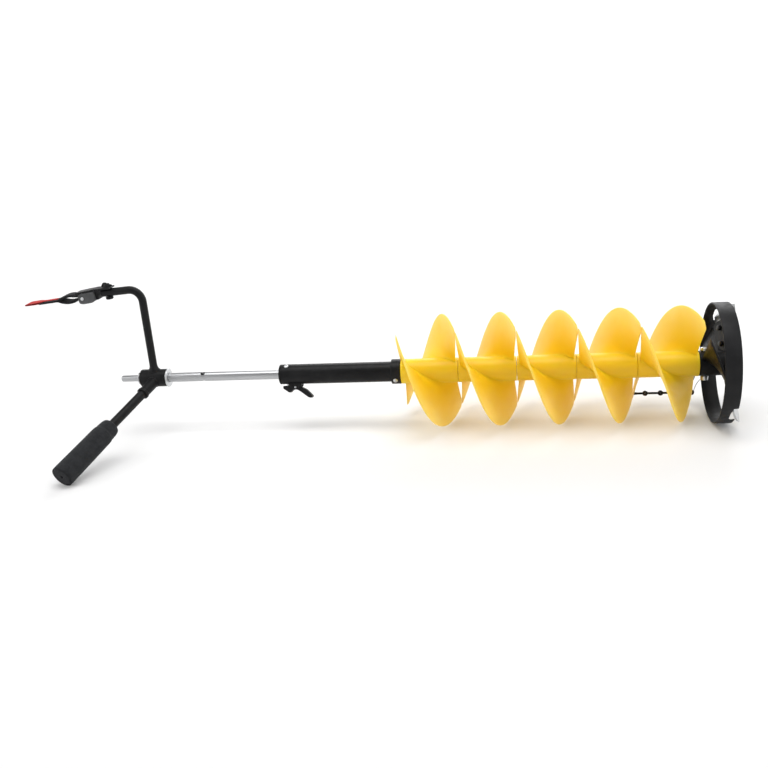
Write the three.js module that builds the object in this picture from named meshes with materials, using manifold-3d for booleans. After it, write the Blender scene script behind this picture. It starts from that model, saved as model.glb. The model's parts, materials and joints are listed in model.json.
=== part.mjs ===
// Hand ice auger driven by a cordless drill: nylon flights, telescoping rod, free-turning brace handle.
// Units are millimetres. The auger lies on the ground with its shaft along X, head towards +X, +Z up.
// Angles around the shaft are in degrees from +Y towards +Z.
import * as THREE from 'three';
import Module from 'manifold-3d';
import { mergeVertices } from 'three/addons/utils/BufferGeometryUtils.js';

const wasm = await Module();
wasm.setup();

// ---------------------------------------------------------------- driving dimensions
const FIT = 0.3;                 // clearance between pieces that touch
const ROUND = 30;                // segments around a large turned piece
const SMALL_ROUND = 12;          // segments around a small turned piece
const HEX_ROUND = 18;            // segments around a bolt whose flats line up with its edges

// Flights: five identical modules, each half a turn of a two-start right-handed screw.
const MODULE_COUNT = 5;
const MODULE_LENGTH = 100.5;
const FLIGHT_RADIUS = 98.5;
const FLIGHT_START = 122;        // angle of the first flight's leading end
const FLIGHT_STEPS = 15;
const CORE_RADIUS = 21.7;
const FLIGHT_ROOT_THICK = 4.8;
const FLIGHT_EDGE_THICK = 3;
const FLIGHT_CORNER = 8;         // radius of a flight's outer corners
const SLIT_AT_CORE = 7.5;        // how far a flight's end is cut back at the core, in degrees
const SLIT_TOP_RADIUS = 90.5;      // where that cut-back has run out

// Core shaft and outer tube.
const SHAFT_RADIUS = 13.6;
const SHAFT_BORE = 10.7;
const SHAFT_LEFT = -70;
const SHAFT_RIGHT = 523;
const TUBE_RADIUS = 17.9;
const TUBE_BORE = 13.95;
const TUBE_LEFT = -215.5;
const TUBE_RIGHT = -4;
const COLLAR_RADIUS = 21.95;
const COLLAR_LEFT = -17;
const COLLAR_RIGHT = -0.4;

// Extension rod and drill shank.
const ROD_RADIUS = 8.4;
const ROD_BORE = 6.2;
const ROD_LEFT = -486;
const ROD_RIGHT = -130;
const ROD_TRAVEL = 157.5;        // distance between the rod's two detent stations
const DETENT_X = -205;
const BUSH_RIGHT = -189;
const SHANK_RADIUS = 5.9;
const SHANK_LEFT = -519;
const SHANK_RIGHT = -430;

// Handle hub with its two arms.
const HUB_X = -455;
const HUB_RADIUS = 16.05;
const HUB_LEFT = -480;
const HUB_RIGHT = -431;
const ARM_ANGLE = 90;            // the J arm stands straight up
const ARM_HEIGHT = 168;
const ARM_TUBE_RADIUS = 7;
const ARM_TUBE_BORE = 5.3;
const ARM_BEND = 24;
const ARM_END_X = -528;
const ARM_END_DROP = 5;          // the end stretch leans this far towards the shaft
const SIDE_BASE_X = -450;
const SIDE_ANGLE = 199.15;       // the side arm's grip then just reaches the ground
const SIDE_LEAN = 19;            // degrees it leans away from the head
const SIDE_LENGTH = 270;
const SIDE_ROD_RADIUS = 8.2;
const GRIP_START = 139;
const GRIP_RADIUS = 19.5;

// Cutting head, blades and blade guard.
const HEAD_LEFT = 503;
const HEAD_RIGHT = 556;
const HEAD_RADIUS = 21;
const HEAD_ARM_RADIUS = 94;
const BLADE_ANGLES = [230, 50];
const BLADE_X = 554;
const BLADE_TILT = 20;
const BLADE_THICK = 3;
const GUARD_LEFT = 525;
const GUARD_RIGHT = 551.5;
const GUARD_RADIUS = 101.7;
const GUARD_WALL = 2.3;
const GUARD_STRAP_ANGLE = 310.3;

// ---------------------------------------------------------------- materials
function material(color, roughness, metalness) {
  return new THREE.MeshStandardMaterial({ color, roughness, metalness });
}
const YELLOW_NYLON = material(0xf2b71e, 0.45, 0);
const BLACK_PAINT = material(0x26272a, 0.45, 0.3);
const BLACK_PLASTIC = material(0x1d1e20, 0.5, 0);
const BRIGHT_STEEL = material(0xc9cbcd, 0.3, 1);
const SILVER_ROD = material(0xb9bcc0, 0.32, 1);
const BLADE_STEEL = material(0xaeb1b4, 0.28, 1);
const BLACK_STEEL = material(0x26282a, 0.4, 0.6);
const BRONZE = material(0x9c7a42, 0.45, 1);
const FOAM = material(0x2f3133, 0.85, 0);
const RUBBER = material(0x17181a, 0.8, 0);
const WEBBING = material(0x1e1f21, 0.9, 0);
const RED_TAB = material(0xc0302c, 0.6, 0);
const GREY_PLASTIC = material(0x515456, 0.6, 0);

// ---------------------------------------------------------------- geometry helpers
const rad = THREE.MathUtils.degToRad;

function signedVolume(geometry) {
  const p = geometry.getAttribute('position');
  const index = geometry.getIndex();
  const a = new THREE.Vector3();
  const b = new THREE.Vector3();
  const c = new THREE.Vector3();
  let volume = 0;
  for (let i = 0; i < index.count; i += 3) {
    a.fromBufferAttribute(p, index.getX(i));
    b.fromBufferAttribute(p, index.getX(i + 1));
    c.fromBufferAttribute(p, index.getX(i + 2));
    volume += a.dot(b.cross(c));
  }
  return volume;
}

// A closed geometry with shared vertices and its faces pointing out.
function closed(source) {
  const geometry = source.clone();
  geometry.deleteAttribute('normal');
  geometry.deleteAttribute('uv');
  const merged = mergeVertices(geometry, 1e-4);
  if (signedVolume(merged) < 0) {
    const index = merged.getIndex();
    for (let i = 0; i < index.count; i += 3) {
      const first = index.getX(i);
      index.setX(i, index.getX(i + 1));
      index.setX(i + 1, first);
    }
  }
  return merged;
}

function solid(source) {
  const geometry = closed(source);
  const vertProperties = new Float32Array(geometry.getAttribute('position').array);
  const triVerts = new Uint32Array(geometry.getIndex().array);
  return new wasm.Manifold(new wasm.Mesh({ numProp: 3, vertProperties, triVerts }));
}

function fromSolid(manifold) {
  const mesh = manifold.getMesh();
  const geometry = new THREE.BufferGeometry();
  geometry.setAttribute('position', new THREE.BufferAttribute(new Float32Array(mesh.vertProperties), 3));
  geometry.setIndex(new THREE.BufferAttribute(new Uint32Array(mesh.triVerts), 1));
  return geometry;
}

function join(...geometries) {
  return fromSolid(geometries.map(solid).reduce((all, one) => all.add(one)));
}

function cut(base, ...tools) {
  return fromSolid(tools.map(solid).reduce((rest, tool) => rest.subtract(tool), solid(base)));
}

// Turned solid around X from [x, radius] points; the profile starts and ends on the axis.
function turned(profile, segments = ROUND) {
  const points = profile.map(([x, radius]) => new THREE.Vector2(radius, x));
  return new THREE.LatheGeometry(points, segments).rotateZ(-Math.PI / 2);
}

function bar(left, right, radius, segments = ROUND, chamfer = 0) {
  if (chamfer === 0) return turned([[left, 0], [left, radius], [right, radius], [right, 0]], segments);
  return turned([
    [left, 0], [left, radius - chamfer], [left + chamfer, radius],
    [right - chamfer, radius], [right, radius - chamfer], [right, 0],
  ], segments);
}

// Turned ring around X: its profile closes on itself.
function ring(left, right, outer, inner, segments = ROUND, chamfer = 0) {
  const profile = [[left, inner], [left, outer - chamfer], [left + chamfer, outer],
    [right - chamfer, outer], [right, outer - chamfer], [right, inner], [left, inner]];
  const kept = profile.filter(([x, radius], i) => {
    if (i === 0) return true;
    return x !== profile[i - 1][0] || radius !== profile[i - 1][1];
  });
  return turned(kept, segments);
}

// Moves a shape made around +X so that +X points along a direction, starting at a point.
function along(geometry, origin, direction) {
  const turn = new THREE.Quaternion().setFromUnitVectors(new THREE.Vector3(1, 0, 0), direction);
  return geometry.clone().applyQuaternion(turn).translate(origin.x, origin.y, origin.z);
}

function radial(angle) {
  return new THREE.Vector3(0, Math.cos(rad(angle)), Math.sin(rad(angle)));
}

// Moves a shape made around +X so that it points out of the shaft at an angle, at a station x.
function outward(geometry, x, angle) {
  return along(geometry, new THREE.Vector3(x, 0, 0), radial(angle));
}

// Basis at an angle around the shaft: local x is the shaft, y the tangent, z the way out.
function atAngle(geometry, angle) {
  return geometry.clone().rotateX(rad(angle - 90));
}

function outline(points) {
  return new THREE.Shape(points.map(([x, y]) => new THREE.Vector2(x, y)));
}

// Extrudes an outline drawn in X and Z by a width along Y, centred on Y = 0.
function plate(points, width) {
  const geometry = new THREE.ExtrudeGeometry(outline(points), { depth: width, bevelEnabled: false });
  return geometry.rotateX(Math.PI / 2).translate(0, width / 2, 0);
}

function block(x0, x1, y0, y1, z0, z1) {
  return new THREE.BoxGeometry(x1 - x0, y1 - y0, z1 - z0)
    .translate((x0 + x1) / 2, (y0 + y1) / 2, (z0 + z1) / 2);
}

function circle(radius, segments) {
  const points = [];
  for (let i = 0; i < segments; i += 1) {
    const turn = (2 * Math.PI * i) / segments;
    points.push([radius * Math.cos(turn), radius * Math.sin(turn)]);
  }
  return outline(points);
}

function tube(curve, radius, segments, steps) {
  const options = { steps, extrudePath: curve, bevelEnabled: false };
  return new THREE.ExtrudeGeometry(circle(radius, segments), options);
}

// ---------------------------------------------------------------- the object and its nodes
const auger = new THREE.Group();

function node(name, geometry, look) {
  const mesh = new THREE.Mesh(closed(geometry), look);
  mesh.name = name;
  auger.add(mesh);
  return mesh;
}

// ---------------------------------------------------------------- flights
const LEAD = (2 * MODULE_LENGTH) / (2 * Math.PI);

// A helical blade around X between two angles; trim(r) cuts both ends back, in degrees.
// Its two faces are swung apart around X, so that its ends are square to the shaft.
function helicoid({ start, end, startX, radii, steps, thickness, trim }) {
  const positions = [];
  const index = [];
  for (let i = 0; i <= steps; i += 1) {
    for (const radius of radii) {
      const first = start + trim(radius);
      const last = end - trim(radius);
      const angle = first + ((last - first) * i) / steps;
      const x = startX + LEAD * rad(angle - start);
      const half = 0.5 * thickness(radius) * Math.hypot(1, LEAD / radius);
      const swing = THREE.MathUtils.radToDeg(half / LEAD);
      for (const face of [angle + swing, angle - swing]) {
        const out = radial(face).multiplyScalar(radius);
        positions.push(x, out.y, out.z);
      }
    }
  }
  const rows = radii.length;
  const at = (i, j, side) => 2 * (i * rows + j) + side;
  const quad = (a, b, c, d) => index.push(a, b, c, a, c, d);
  for (let i = 0; i < steps; i += 1) {
    for (let j = 0; j < rows - 1; j += 1) {
      quad(at(i, j, 0), at(i + 1, j, 0), at(i + 1, j + 1, 0), at(i, j + 1, 0));
      quad(at(i, j, 1), at(i, j + 1, 1), at(i + 1, j + 1, 1), at(i + 1, j, 1));
    }
    quad(at(i, 0, 0), at(i, 0, 1), at(i + 1, 0, 1), at(i + 1, 0, 0));
    quad(at(i, rows - 1, 0), at(i + 1, rows - 1, 0), at(i + 1, rows - 1, 1), at(i, rows - 1, 1));
  }
  for (let j = 0; j < rows - 1; j += 1) {
    quad(at(0, j, 0), at(0, j + 1, 0), at(0, j + 1, 1), at(0, j, 1));
    quad(at(steps, j, 0), at(steps, j, 1), at(steps, j + 1, 1), at(steps, j + 1, 0));
  }
  const geometry = new THREE.BufferGeometry();
  geometry.setAttribute('position', new THREE.BufferAttribute(new Float32Array(positions), 3));
  geometry.setIndex(index);
  return geometry;
}

function flightTrim(radius) {
  const seam = 0.27;
  const span = SLIT_TOP_RADIUS - CORE_RADIUS;
  const share = THREE.MathUtils.clamp((SLIT_TOP_RADIUS - radius) / span, 0, 1);
  const rise = Math.max(0, (radius - FLIGHT_RADIUS + FLIGHT_CORNER) / FLIGHT_CORNER);
  const inset = FLIGHT_CORNER * (1 - Math.sqrt(Math.max(0, 1 - rise * rise)));
  return seam + SLIT_AT_CORE * share + THREE.MathUtils.radToDeg(inset / radius);
}

function flightThickness(radius) {
  const share = (radius - CORE_RADIUS) / (FLIGHT_RADIUS - CORE_RADIUS);
  return THREE.MathUtils.lerp(FLIGHT_ROOT_THICK, FLIGHT_EDGE_THICK, THREE.MathUtils.clamp(share, 0, 1));
}

const cornerRadii = [0, 0.7, 1].map((share) => FLIGHT_RADIUS - FLIGHT_CORNER * (1 - share));

function flightModule(number) {
  const startX = number * MODULE_LENGTH;
  const core = ring(startX + FIT / 2, startX + MODULE_LENGTH - FIT / 2, CORE_RADIUS, SHAFT_RADIUS + FIT);
  const flights = [0, 180].map((turn) => helicoid({
    start: FLIGHT_START + 180 * number + turn,
    end: FLIGHT_START + 180 * (number + 1) + turn,
    startX,
    radii: [CORE_RADIUS - 1.5, 42, 66, ...cornerRadii],
    steps: FLIGHT_STEPS,
    thickness: flightThickness,
    trim: flightTrim,
  }));
  return join(core, ...flights);
}

for (let number = 0; number < MODULE_COUNT; number += 1) {
  node(`flight_module_${number + 1}`, flightModule(number), YELLOW_NYLON);
}

// ---------------------------------------------------------------- tube, collar and core shaft
const COLLAR_SCREW_X = -9;
const COLLAR_SCREW_ANGLES = [206, 26];
const TUBE_SCREW_X = -205.5;
const TUBE_SCREW_ANGLE = 110.5;
const LEVER_ANGLE = 250;
const SCREW_SHANK = 2;
const HEAD_BOLT_X = 513;
const HEAD_BOLT_ANGLE = 80;
const HEAD_BOLT_RADIUS = 3.8;

function radialHole(x, angle, radius, inner, outer) {
  return outward(bar(inner, outer, radius, SMALL_ROUND), x, angle);
}

function collarHoles(inner) {
  return COLLAR_SCREW_ANGLES.map((angle) => radialHole(COLLAR_SCREW_X, angle, SCREW_SHANK + FIT, inner, 30));
}

const detentSlot = atAngle(block(DETENT_X - 8, DETENT_X + 5, -3.4, 3.4, 8, 25), LEVER_ANGLE);
const tubeScrewHole = radialHole(TUBE_SCREW_X, TUBE_SCREW_ANGLE, SCREW_SHANK + FIT, 9.8, 30);
const headBoltHole = outward(bar(-30, 30, HEAD_BOLT_RADIUS + FIT, SMALL_ROUND), HEAD_BOLT_X, HEAD_BOLT_ANGLE);

node('core_shaft', cut(
  ring(SHAFT_LEFT, SHAFT_RIGHT, SHAFT_RADIUS, SHAFT_BORE),
  headBoltHole,
  ...collarHoles(5),
), BRIGHT_STEEL);

node('drive_tube', cut(
  ring(TUBE_LEFT, TUBE_RIGHT, TUBE_RADIUS, TUBE_BORE),
  detentSlot,
  tubeScrewHole,
  ...collarHoles(5),
), BLACK_PAINT);

node('collar', cut(
  ring(COLLAR_LEFT, COLLAR_RIGHT, COLLAR_RADIUS, TUBE_RADIUS + FIT, ROUND, 1.2),
  ...collarHoles(5),
), BLACK_PAINT);

const bushSleeve = ring(TUBE_LEFT - 1, BUSH_RIGHT, TUBE_BORE - FIT, ROD_RADIUS + FIT);
const bushFlange = ring(TUBE_LEFT - 3.4, TUBE_LEFT - FIT, TUBE_RADIUS, ROD_RADIUS + FIT, ROUND, 0.8);
node('guide_bush', cut(join(bushSleeve, bushFlange), detentSlot, tubeScrewHole), BLACK_PLASTIC);

// A pan-head screw along +X: the head sits on `seat`, the shank runs inwards to `tip`.
function panScrew(seat, tip, headRadius, headHeight, shankRadius) {
  return turned([
    [tip, 0], [tip, shankRadius], [seat, shankRadius], [seat, headRadius],
    [seat + headHeight * 0.5, headRadius], [seat + headHeight, headRadius * 0.6], [seat + headHeight, 0],
  ], SMALL_ROUND);
}

COLLAR_SCREW_ANGLES.forEach((angle, i) => {
  const screw = panScrew(COLLAR_RADIUS + 0.1, 11.6, 3.9, 2.4, SCREW_SHANK);
  node(`collar_screw_${i + 1}`, outward(screw, COLLAR_SCREW_X, angle), BRIGHT_STEEL);
});
node('tube_screw', outward(
  panScrew(TUBE_RADIUS + 0.1, 10.2, 3.9, 2.4, SCREW_SHANK), TUBE_SCREW_X, TUBE_SCREW_ANGLE), BRIGHT_STEEL);

// ---------------------------------------------------------------- release lever
const LEVER_PIVOT_X = -190;
const LEVER_PIVOT_OUT = 23.5;
const LEVER_WIDTH = 14;
const EAR_THICK = 2;
const EAR_INNER = LEVER_WIDTH / 2 + FIT;
const PIVOT_RADIUS = 1.8;
const PIN_RADIUS = 2.8;
const PIN_HEAD = 26.4;
const PIN_TIP = ROD_RADIUS + 0.4;  // drawn back from the rod's hole, so the rod is free to slide

// A pin along the tangent at the lever's pivot, drawn before the turn to LEVER_ANGLE.
function pivotPin(radius, half) {
  return along(bar(-half, half, radius, SMALL_ROUND),
    new THREE.Vector3(LEVER_PIVOT_X, 0, LEVER_PIVOT_OUT), new THREE.Vector3(0, 1, 0));
}

const earProfile = [[-201, 14], [-179, 14], [-179, 20], [-184, 27.5], [-196, 27.5], [-201, 20]];
const ears = [-1, 1].map((side) => plate(earProfile, EAR_THICK)
  .translate(0, side * (EAR_INNER + EAR_THICK / 2), 0));
const saddle = block(-186.5, -179, -EAR_INNER - 0.5, EAR_INNER + 0.5, 14, 19.6);
node('lever_bracket', cut(
  atAngle(cut(join(ears[0], ears[1], saddle), pivotPin(PIVOT_RADIUS + FIT, 20)), LEVER_ANGLE),
  bar(TUBE_LEFT, TUBE_RIGHT, TUBE_RADIUS + FIT),
), BLACK_PAINT);

const leverProfile = [
  [-213, 20.6], [-193, 20.6], [-187, 21.2], [-172.5, 27.5], [-160.5, 39.5], [-161, 42], [-163.5, 43.2],
  [-167.5, 42], [-178.8, 33.5], [-186, 28.6], [-192, 27.2], [-196, 28.6], [-200.5, 33], [-203, 32.5],
  [-213.5, 25.5],
];
const springRoom = plate([[-194.2, 18], [-185.8, 18], [-185.8, 30], [-194.2, 30]], 6.4);
const pinSocket = outward(bar(15, 27, 2.9 + FIT, SMALL_ROUND), DETENT_X, 90);
node('release_lever', atAngle(
  cut(plate(leverProfile, LEVER_WIDTH), pivotPin(PIVOT_RADIUS + FIT, 20), springRoom, pinSocket),
  LEVER_ANGLE,
), BLACK_PLASTIC);
const leverPivot = pivotPin(PIVOT_RADIUS, EAR_INNER + EAR_THICK + 1);
node('lever_pivot_pin', atAngle(leverPivot, LEVER_ANGLE), BRIGHT_STEEL);
const detentPin = outward(bar(PIN_TIP, PIN_HEAD, PIN_RADIUS, SMALL_ROUND, 0.6), DETENT_X, 90);
node('detent_pin', atAngle(detentPin, LEVER_ANGLE), BRIGHT_STEEL);

class SpringCurve extends THREE.Curve {
  constructor(radius, turns, length) {
    super();
    this.radius = radius;
    this.turns = turns;
    this.length = length;
  }

  getPoint(t, target = new THREE.Vector3()) {
    const turn = 2 * Math.PI * this.turns * t;
    return target.set(this.radius * Math.cos(turn), this.length * (t - 0.5), this.radius * Math.sin(turn));
  }
}
const springCoil = tube(new SpringCurve(2.9, 3.2, 4.4), 0.5, 5, 30)
  .translate(LEVER_PIVOT_X, 0, LEVER_PIVOT_OUT);
node('lever_spring', atAngle(springCoil, LEVER_ANGLE), BRIGHT_STEEL);

// ---------------------------------------------------------------- extension rod and shank
const ROD_HOLE = 4.2;
const CLIP_X = -483.4;
const CLIP_THICK = 1.2;
const FLANGE_THICK = 3.2;
const FLANGE_RADIUS = 17.2;
const SHANK_PIN_RADIUS = 2;
const SHANK_PIN_X = -440;
const SEEN_HOLE_ANGLE = 119;
const rodBlank = turned([
  [ROD_LEFT, ROD_BORE], [ROD_LEFT, ROD_RADIUS - 0.5], [ROD_LEFT + 0.5, ROD_RADIUS],
  [CLIP_X - 0.9, ROD_RADIUS], [CLIP_X - 0.9, 7.3], [CLIP_X + 0.9, 7.3], [CLIP_X + 0.9, ROD_RADIUS],
  [ROD_RIGHT - 0.5, ROD_RADIUS], [ROD_RIGHT, ROD_RADIUS - 0.5], [ROD_RIGHT, ROD_BORE], [ROD_LEFT, ROD_BORE],
]);
const shankPinHole = outward(
  bar(-15, 15, SHANK_PIN_RADIUS + FIT, SMALL_ROUND), SHANK_PIN_X, SEEN_HOLE_ANGLE);
node('extension_rod', cut(
  rodBlank,
  radialHole(DETENT_X, LEVER_ANGLE, ROD_HOLE, 2, 12),
  radialHole(DETENT_X - ROD_TRAVEL, LEVER_ANGLE, ROD_HOLE, 2, 12),
  radialHole(DETENT_X - ROD_TRAVEL, SEEN_HOLE_ANGLE, ROD_HOLE, -12, 12),
  shankPinHole,
), SILVER_ROD);
node('drill_shank', cut(
  turned([
    [SHANK_LEFT, 0], [SHANK_LEFT, SHANK_RADIUS - 1.4], [SHANK_LEFT + 1.8, SHANK_RADIUS],
    [SHANK_RIGHT, SHANK_RADIUS], [SHANK_RIGHT, 0],
  ]),
  shankPinHole,
), SILVER_ROD);
const pinBar = bar(-8.2, 8.2, SHANK_PIN_RADIUS, SMALL_ROUND, 0.4);
node('shank_pin', outward(pinBar, SHANK_PIN_X, SEEN_HOLE_ANGLE), BRIGHT_STEEL);
node('retaining_clip', ring(
  CLIP_X - CLIP_THICK / 2, CLIP_X + CLIP_THICK / 2, 11.8, 7.5, ROUND), BRIGHT_STEEL);
node('thrust_flange', ring(
  HUB_RIGHT + FIT, HUB_RIGHT + FLANGE_THICK, FLANGE_RADIUS, ROD_RADIUS + FIT, ROUND, 0.6), BRIGHT_STEEL);

// ---------------------------------------------------------------- handle frame: hub, J arm and side socket
const sideBase = new THREE.Vector3(SIDE_BASE_X, 0, 0);
const sideDirection = new THREE.Vector3(
  -Math.sin(rad(SIDE_LEAN)),
  Math.cos(rad(SIDE_LEAN)) * Math.cos(rad(SIDE_ANGLE)),
  Math.cos(rad(SIDE_LEAN)) * Math.sin(rad(SIDE_ANGLE)),
);
const SOCKET_END = 49;
const SOCKET_BORE_START = 20;
const HUB_BORE = 11.3;

const armTop = new THREE.Vector3(HUB_X, 0, ARM_HEIGHT);
const armEnd = new THREE.Vector3(ARM_END_X, 0, ARM_HEIGHT - ARM_END_DROP);
const armEndway = armEnd.clone().sub(armTop).normalize();

// The J arm's centre line from a height on the riser, round the bend, to the open end.
function armPath(bottom, overrun) {
  const path = new THREE.CurvePath();
  const bendStart = new THREE.Vector3(HUB_X, 0, ARM_HEIGHT - ARM_BEND);
  const bendEnd = armTop.clone().addScaledVector(armEndway, ARM_BEND);
  path.add(new THREE.LineCurve3(new THREE.Vector3(HUB_X, 0, bottom), bendStart));
  const pull = 0.448 * ARM_BEND;
  path.add(new THREE.CubicBezierCurve3(
    bendStart,
    bendStart.clone().lerp(armTop, 1 - pull / ARM_BEND),
    bendEnd.clone().lerp(armTop, 1 - pull / ARM_BEND),
    bendEnd,
  ));
  path.add(new THREE.LineCurve3(bendEnd, armEnd.clone().addScaledVector(armEndway, overrun)));
  return path;
}

// One swept piece from several: a straight tube, a bend and a second straight tube.
function sweptArm(radius, bottom, overrun, segments) {
  const stations = [];
  const path = armPath(bottom, overrun);
  for (const piece of path.curves) {
    const steps = piece instanceof THREE.LineCurve3 ? 1 : 8;
    for (let i = stations.length === 0 ? 0 : 1; i <= steps; i += 1) {
      stations.push({ point: piece.getPoint(i / steps), tangent: piece.getTangent(i / steps) });
    }
  }
  const positions = [];
  const index = [];
  for (const { point, tangent } of stations) {
    const across = new THREE.Vector3(0, 1, 0);
    const up = new THREE.Vector3().crossVectors(tangent, across);
    for (let k = 0; k < segments; k += 1) {
      const turn = (2 * Math.PI * k) / segments;
      const spot = point.clone()
        .addScaledVector(across, radius * Math.cos(turn))
        .addScaledVector(up, radius * Math.sin(turn));
      positions.push(spot.x, spot.y, spot.z);
    }
  }
  const ends = [0, stations.length - 1];
  for (const end of ends) positions.push(stations[end].point.x, stations[end].point.y, stations[end].point.z);
  const centre = stations.length * segments;
  for (let k = 0; k < segments; k += 1) {
    const next = (k + 1) % segments;
    for (let i = 0; i < stations.length - 1; i += 1) {
      const a = i * segments;
      const b = a + segments;
      index.push(a + k, b + k, b + next, a + k, b + next, a + next);
    }
    index.push(centre, k, next);
    index.push(centre + 1, ends[1] * segments + next, ends[1] * segments + k);
  }
  const geometry = new THREE.BufferGeometry();
  geometry.setAttribute('position', new THREE.BufferAttribute(new Float32Array(positions), 3));
  geometry.setIndex(index);
  return geometry;
}

const hubBody = bar(HUB_LEFT, HUB_RIGHT, HUB_RADIUS, ROUND, 2);
const armFlare = outward(turned([
  [10, 0], [10, 10.5], [17, 10.5], [22, ARM_TUBE_RADIUS + 0.05], [22, 0],
], 24), HUB_X, ARM_ANGLE);
const armTube = sweptArm(ARM_TUBE_RADIUS, 12, 0, 18);
const armHollow = sweptArm(ARM_TUBE_BORE, 26, 5, 12);
const sideSocket = along(turned([
  [8, 0], [8, 9.8], [SOCKET_END - 6, 9.8], [SOCKET_END - 5, 11], [SOCKET_END - 1, 11], [SOCKET_END, 10.2],
  [SOCKET_END, 0],
], 28), sideBase, sideDirection);
const socketBore = along(
  bar(SOCKET_BORE_START, SOCKET_END + 5, SIDE_ROD_RADIUS + FIT, 28), sideBase, sideDirection);
const BRACKET_BOLT_X = -516;
const BRACKET_BOLT_RADIUS = 2.9;
const boltAxis = new THREE.Vector3().crossVectors(armEndway, new THREE.Vector3(0, 1, 0)).normalize();
if (boltAxis.z < 0) boltAxis.negate();
const boltCentre = armTop.clone().lerp(armEnd, (BRACKET_BOLT_X - HUB_X) / (ARM_END_X - HUB_X));
const boltHole = along(bar(-15, 40, BRACKET_BOLT_RADIUS + FIT, SMALL_ROUND), boltCentre, boltAxis);
node('handle_frame', cut(
  join(hubBody, armFlare, armTube, sideSocket),
  bar(HUB_LEFT - 5, HUB_RIGHT + 5, HUB_BORE),
  socketBore,
  armHollow,
  boltHole,
), BLACK_PAINT);
node('hub_bushing', ring(HUB_LEFT + 1, HUB_RIGHT - 1, HUB_BORE - FIT, ROD_RADIUS + FIT), BRONZE);
node('side_rod', along(
  bar(SOCKET_BORE_START + 1, SIDE_LENGTH - 9, SIDE_ROD_RADIUS, 28), sideBase, sideDirection), BLACK_PAINT);

const gripProfile = [
  [GRIP_START, SIDE_ROD_RADIUS + FIT], [GRIP_START, 13.6], [GRIP_START + 2.5, 16.2], [GRIP_START + 12, 16.8],
  [GRIP_START + 22, 17.4], [GRIP_START + 24, 18.4], [SIDE_LENGTH - 6, GRIP_RADIUS],
  [SIDE_LENGTH - 1.5, GRIP_RADIUS - 1], [SIDE_LENGTH, GRIP_RADIUS - 3.5], [SIDE_LENGTH, 2.4],
  [SIDE_LENGTH - 8, 2.4], [SIDE_LENGTH - 8, SIDE_ROD_RADIUS + FIT], [GRIP_START, SIDE_ROD_RADIUS + FIT],
];
node('grip', along(turned(gripProfile, 32), sideBase, sideDirection), FOAM);

// ---------------------------------------------------------------- strap bracket on the J arm's end
// Drawn in a frame at the bolt: x points along the arm's end stretch towards the drill, z along the bolt.
const bracketFrame = new THREE.Matrix4().makeBasis(
  armEndway, new THREE.Vector3().crossVectors(boltAxis, armEndway), boltAxis).setPosition(boltCentre);

function onBracket(geometry) {
  return geometry.clone().applyMatrix4(bracketFrame);
}

const BRACKET_WIDTH = 22;
const TONGUE_BASE = ARM_TUBE_RADIUS + FIT;
const TONGUE_TOP = TONGUE_BASE + 2.4;
const tongue = plate([
  [-9, TONGUE_BASE], [14, TONGUE_BASE], [14, TONGUE_TOP - 1], [58, TONGUE_TOP - 5], [58, TONGUE_TOP - 2.6],
  [22, TONGUE_TOP + 0.6], [-9, TONGUE_TOP],
], BRACKET_WIDTH);
const cheek = plate([[15.5, -9], [21, -9], [21, 9.2], [15.5, 9.2]], BRACKET_WIDTH);
const tongueHole = bar(-15, 40, BRACKET_BOLT_RADIUS + FIT, SMALL_ROUND).rotateY(-Math.PI / 2);
node('strap_bracket', onBracket(cut(join(tongue, cheek), tongueHole)), BLACK_PLASTIC);

const buckleProfile = [
  [21.4, -9.5], [27, -12.5], [44, -13.5], [50.5, -12], [52, -7], [51.6, 3.2], [47.5, 4.2], [21.4, 6.4],
];
const buckleSlot = plate([[40, -8], [55, -8], [55, 1.4], [40, 1.4]], 26.5);
const rivetCentre = new THREE.Vector3(44, 0, -3.5);
const rivetWay = new THREE.Vector3(0, 1, 0);
const rivetHole = along(bar(-30, 30, 2 + FIT, SMALL_ROUND), rivetCentre, rivetWay);
node('strap_buckle', onBracket(cut(plate(buckleProfile, 32), buckleSlot, rivetHole)), GREY_PLASTIC);
const rivetBody = turned([
  [-18, 0], [-18, 2.2], [-17, 3], [-16.3, 3], [-16.3, 2],
  [16.3, 2], [16.3, 3], [17, 3], [18, 2.2], [18, 0],
], SMALL_ROUND);
node('buckle_rivet', onBracket(along(rivetBody, rivetCentre, rivetWay)), BRIGHT_STEEL);

const BOLT_TOP = 14;
const boltBody = turned([
  [-12.3, 0], [-12.3, 5.8], [-11.4, 6.7], [-TONGUE_BASE, 6.7], [-TONGUE_BASE, BRACKET_BOLT_RADIUS],
  [BOLT_TOP, BRACKET_BOLT_RADIUS], [BOLT_TOP, 0],
], SMALL_ROUND).rotateY(-Math.PI / 2);
node('bracket_bolt', onBracket(boltBody), BLACK_PAINT);
const knobHub = turned([
  [TONGUE_TOP + FIT, 0], [TONGUE_TOP + FIT, 6.4], [12.5, 5.8], [16, 4.4], [16, 0],
], SMALL_ROUND).rotateY(-Math.PI / 2);
const wing = plate([
  [-9.5, 10.6], [9.5, 10.6], [10.2, 13], [6.5, 18.2], [2.5, 18.2], [-3, 15.4], [-9.5, 13],
], 3.6);
const knobBore = bar(0, BOLT_TOP + FIT, BRACKET_BOLT_RADIUS + FIT, SMALL_ROUND).rotateY(-Math.PI / 2);
node('wing_knob', onBracket(cut(join(knobHub, wing), knobBore)), BLACK_PLASTIC);

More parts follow.
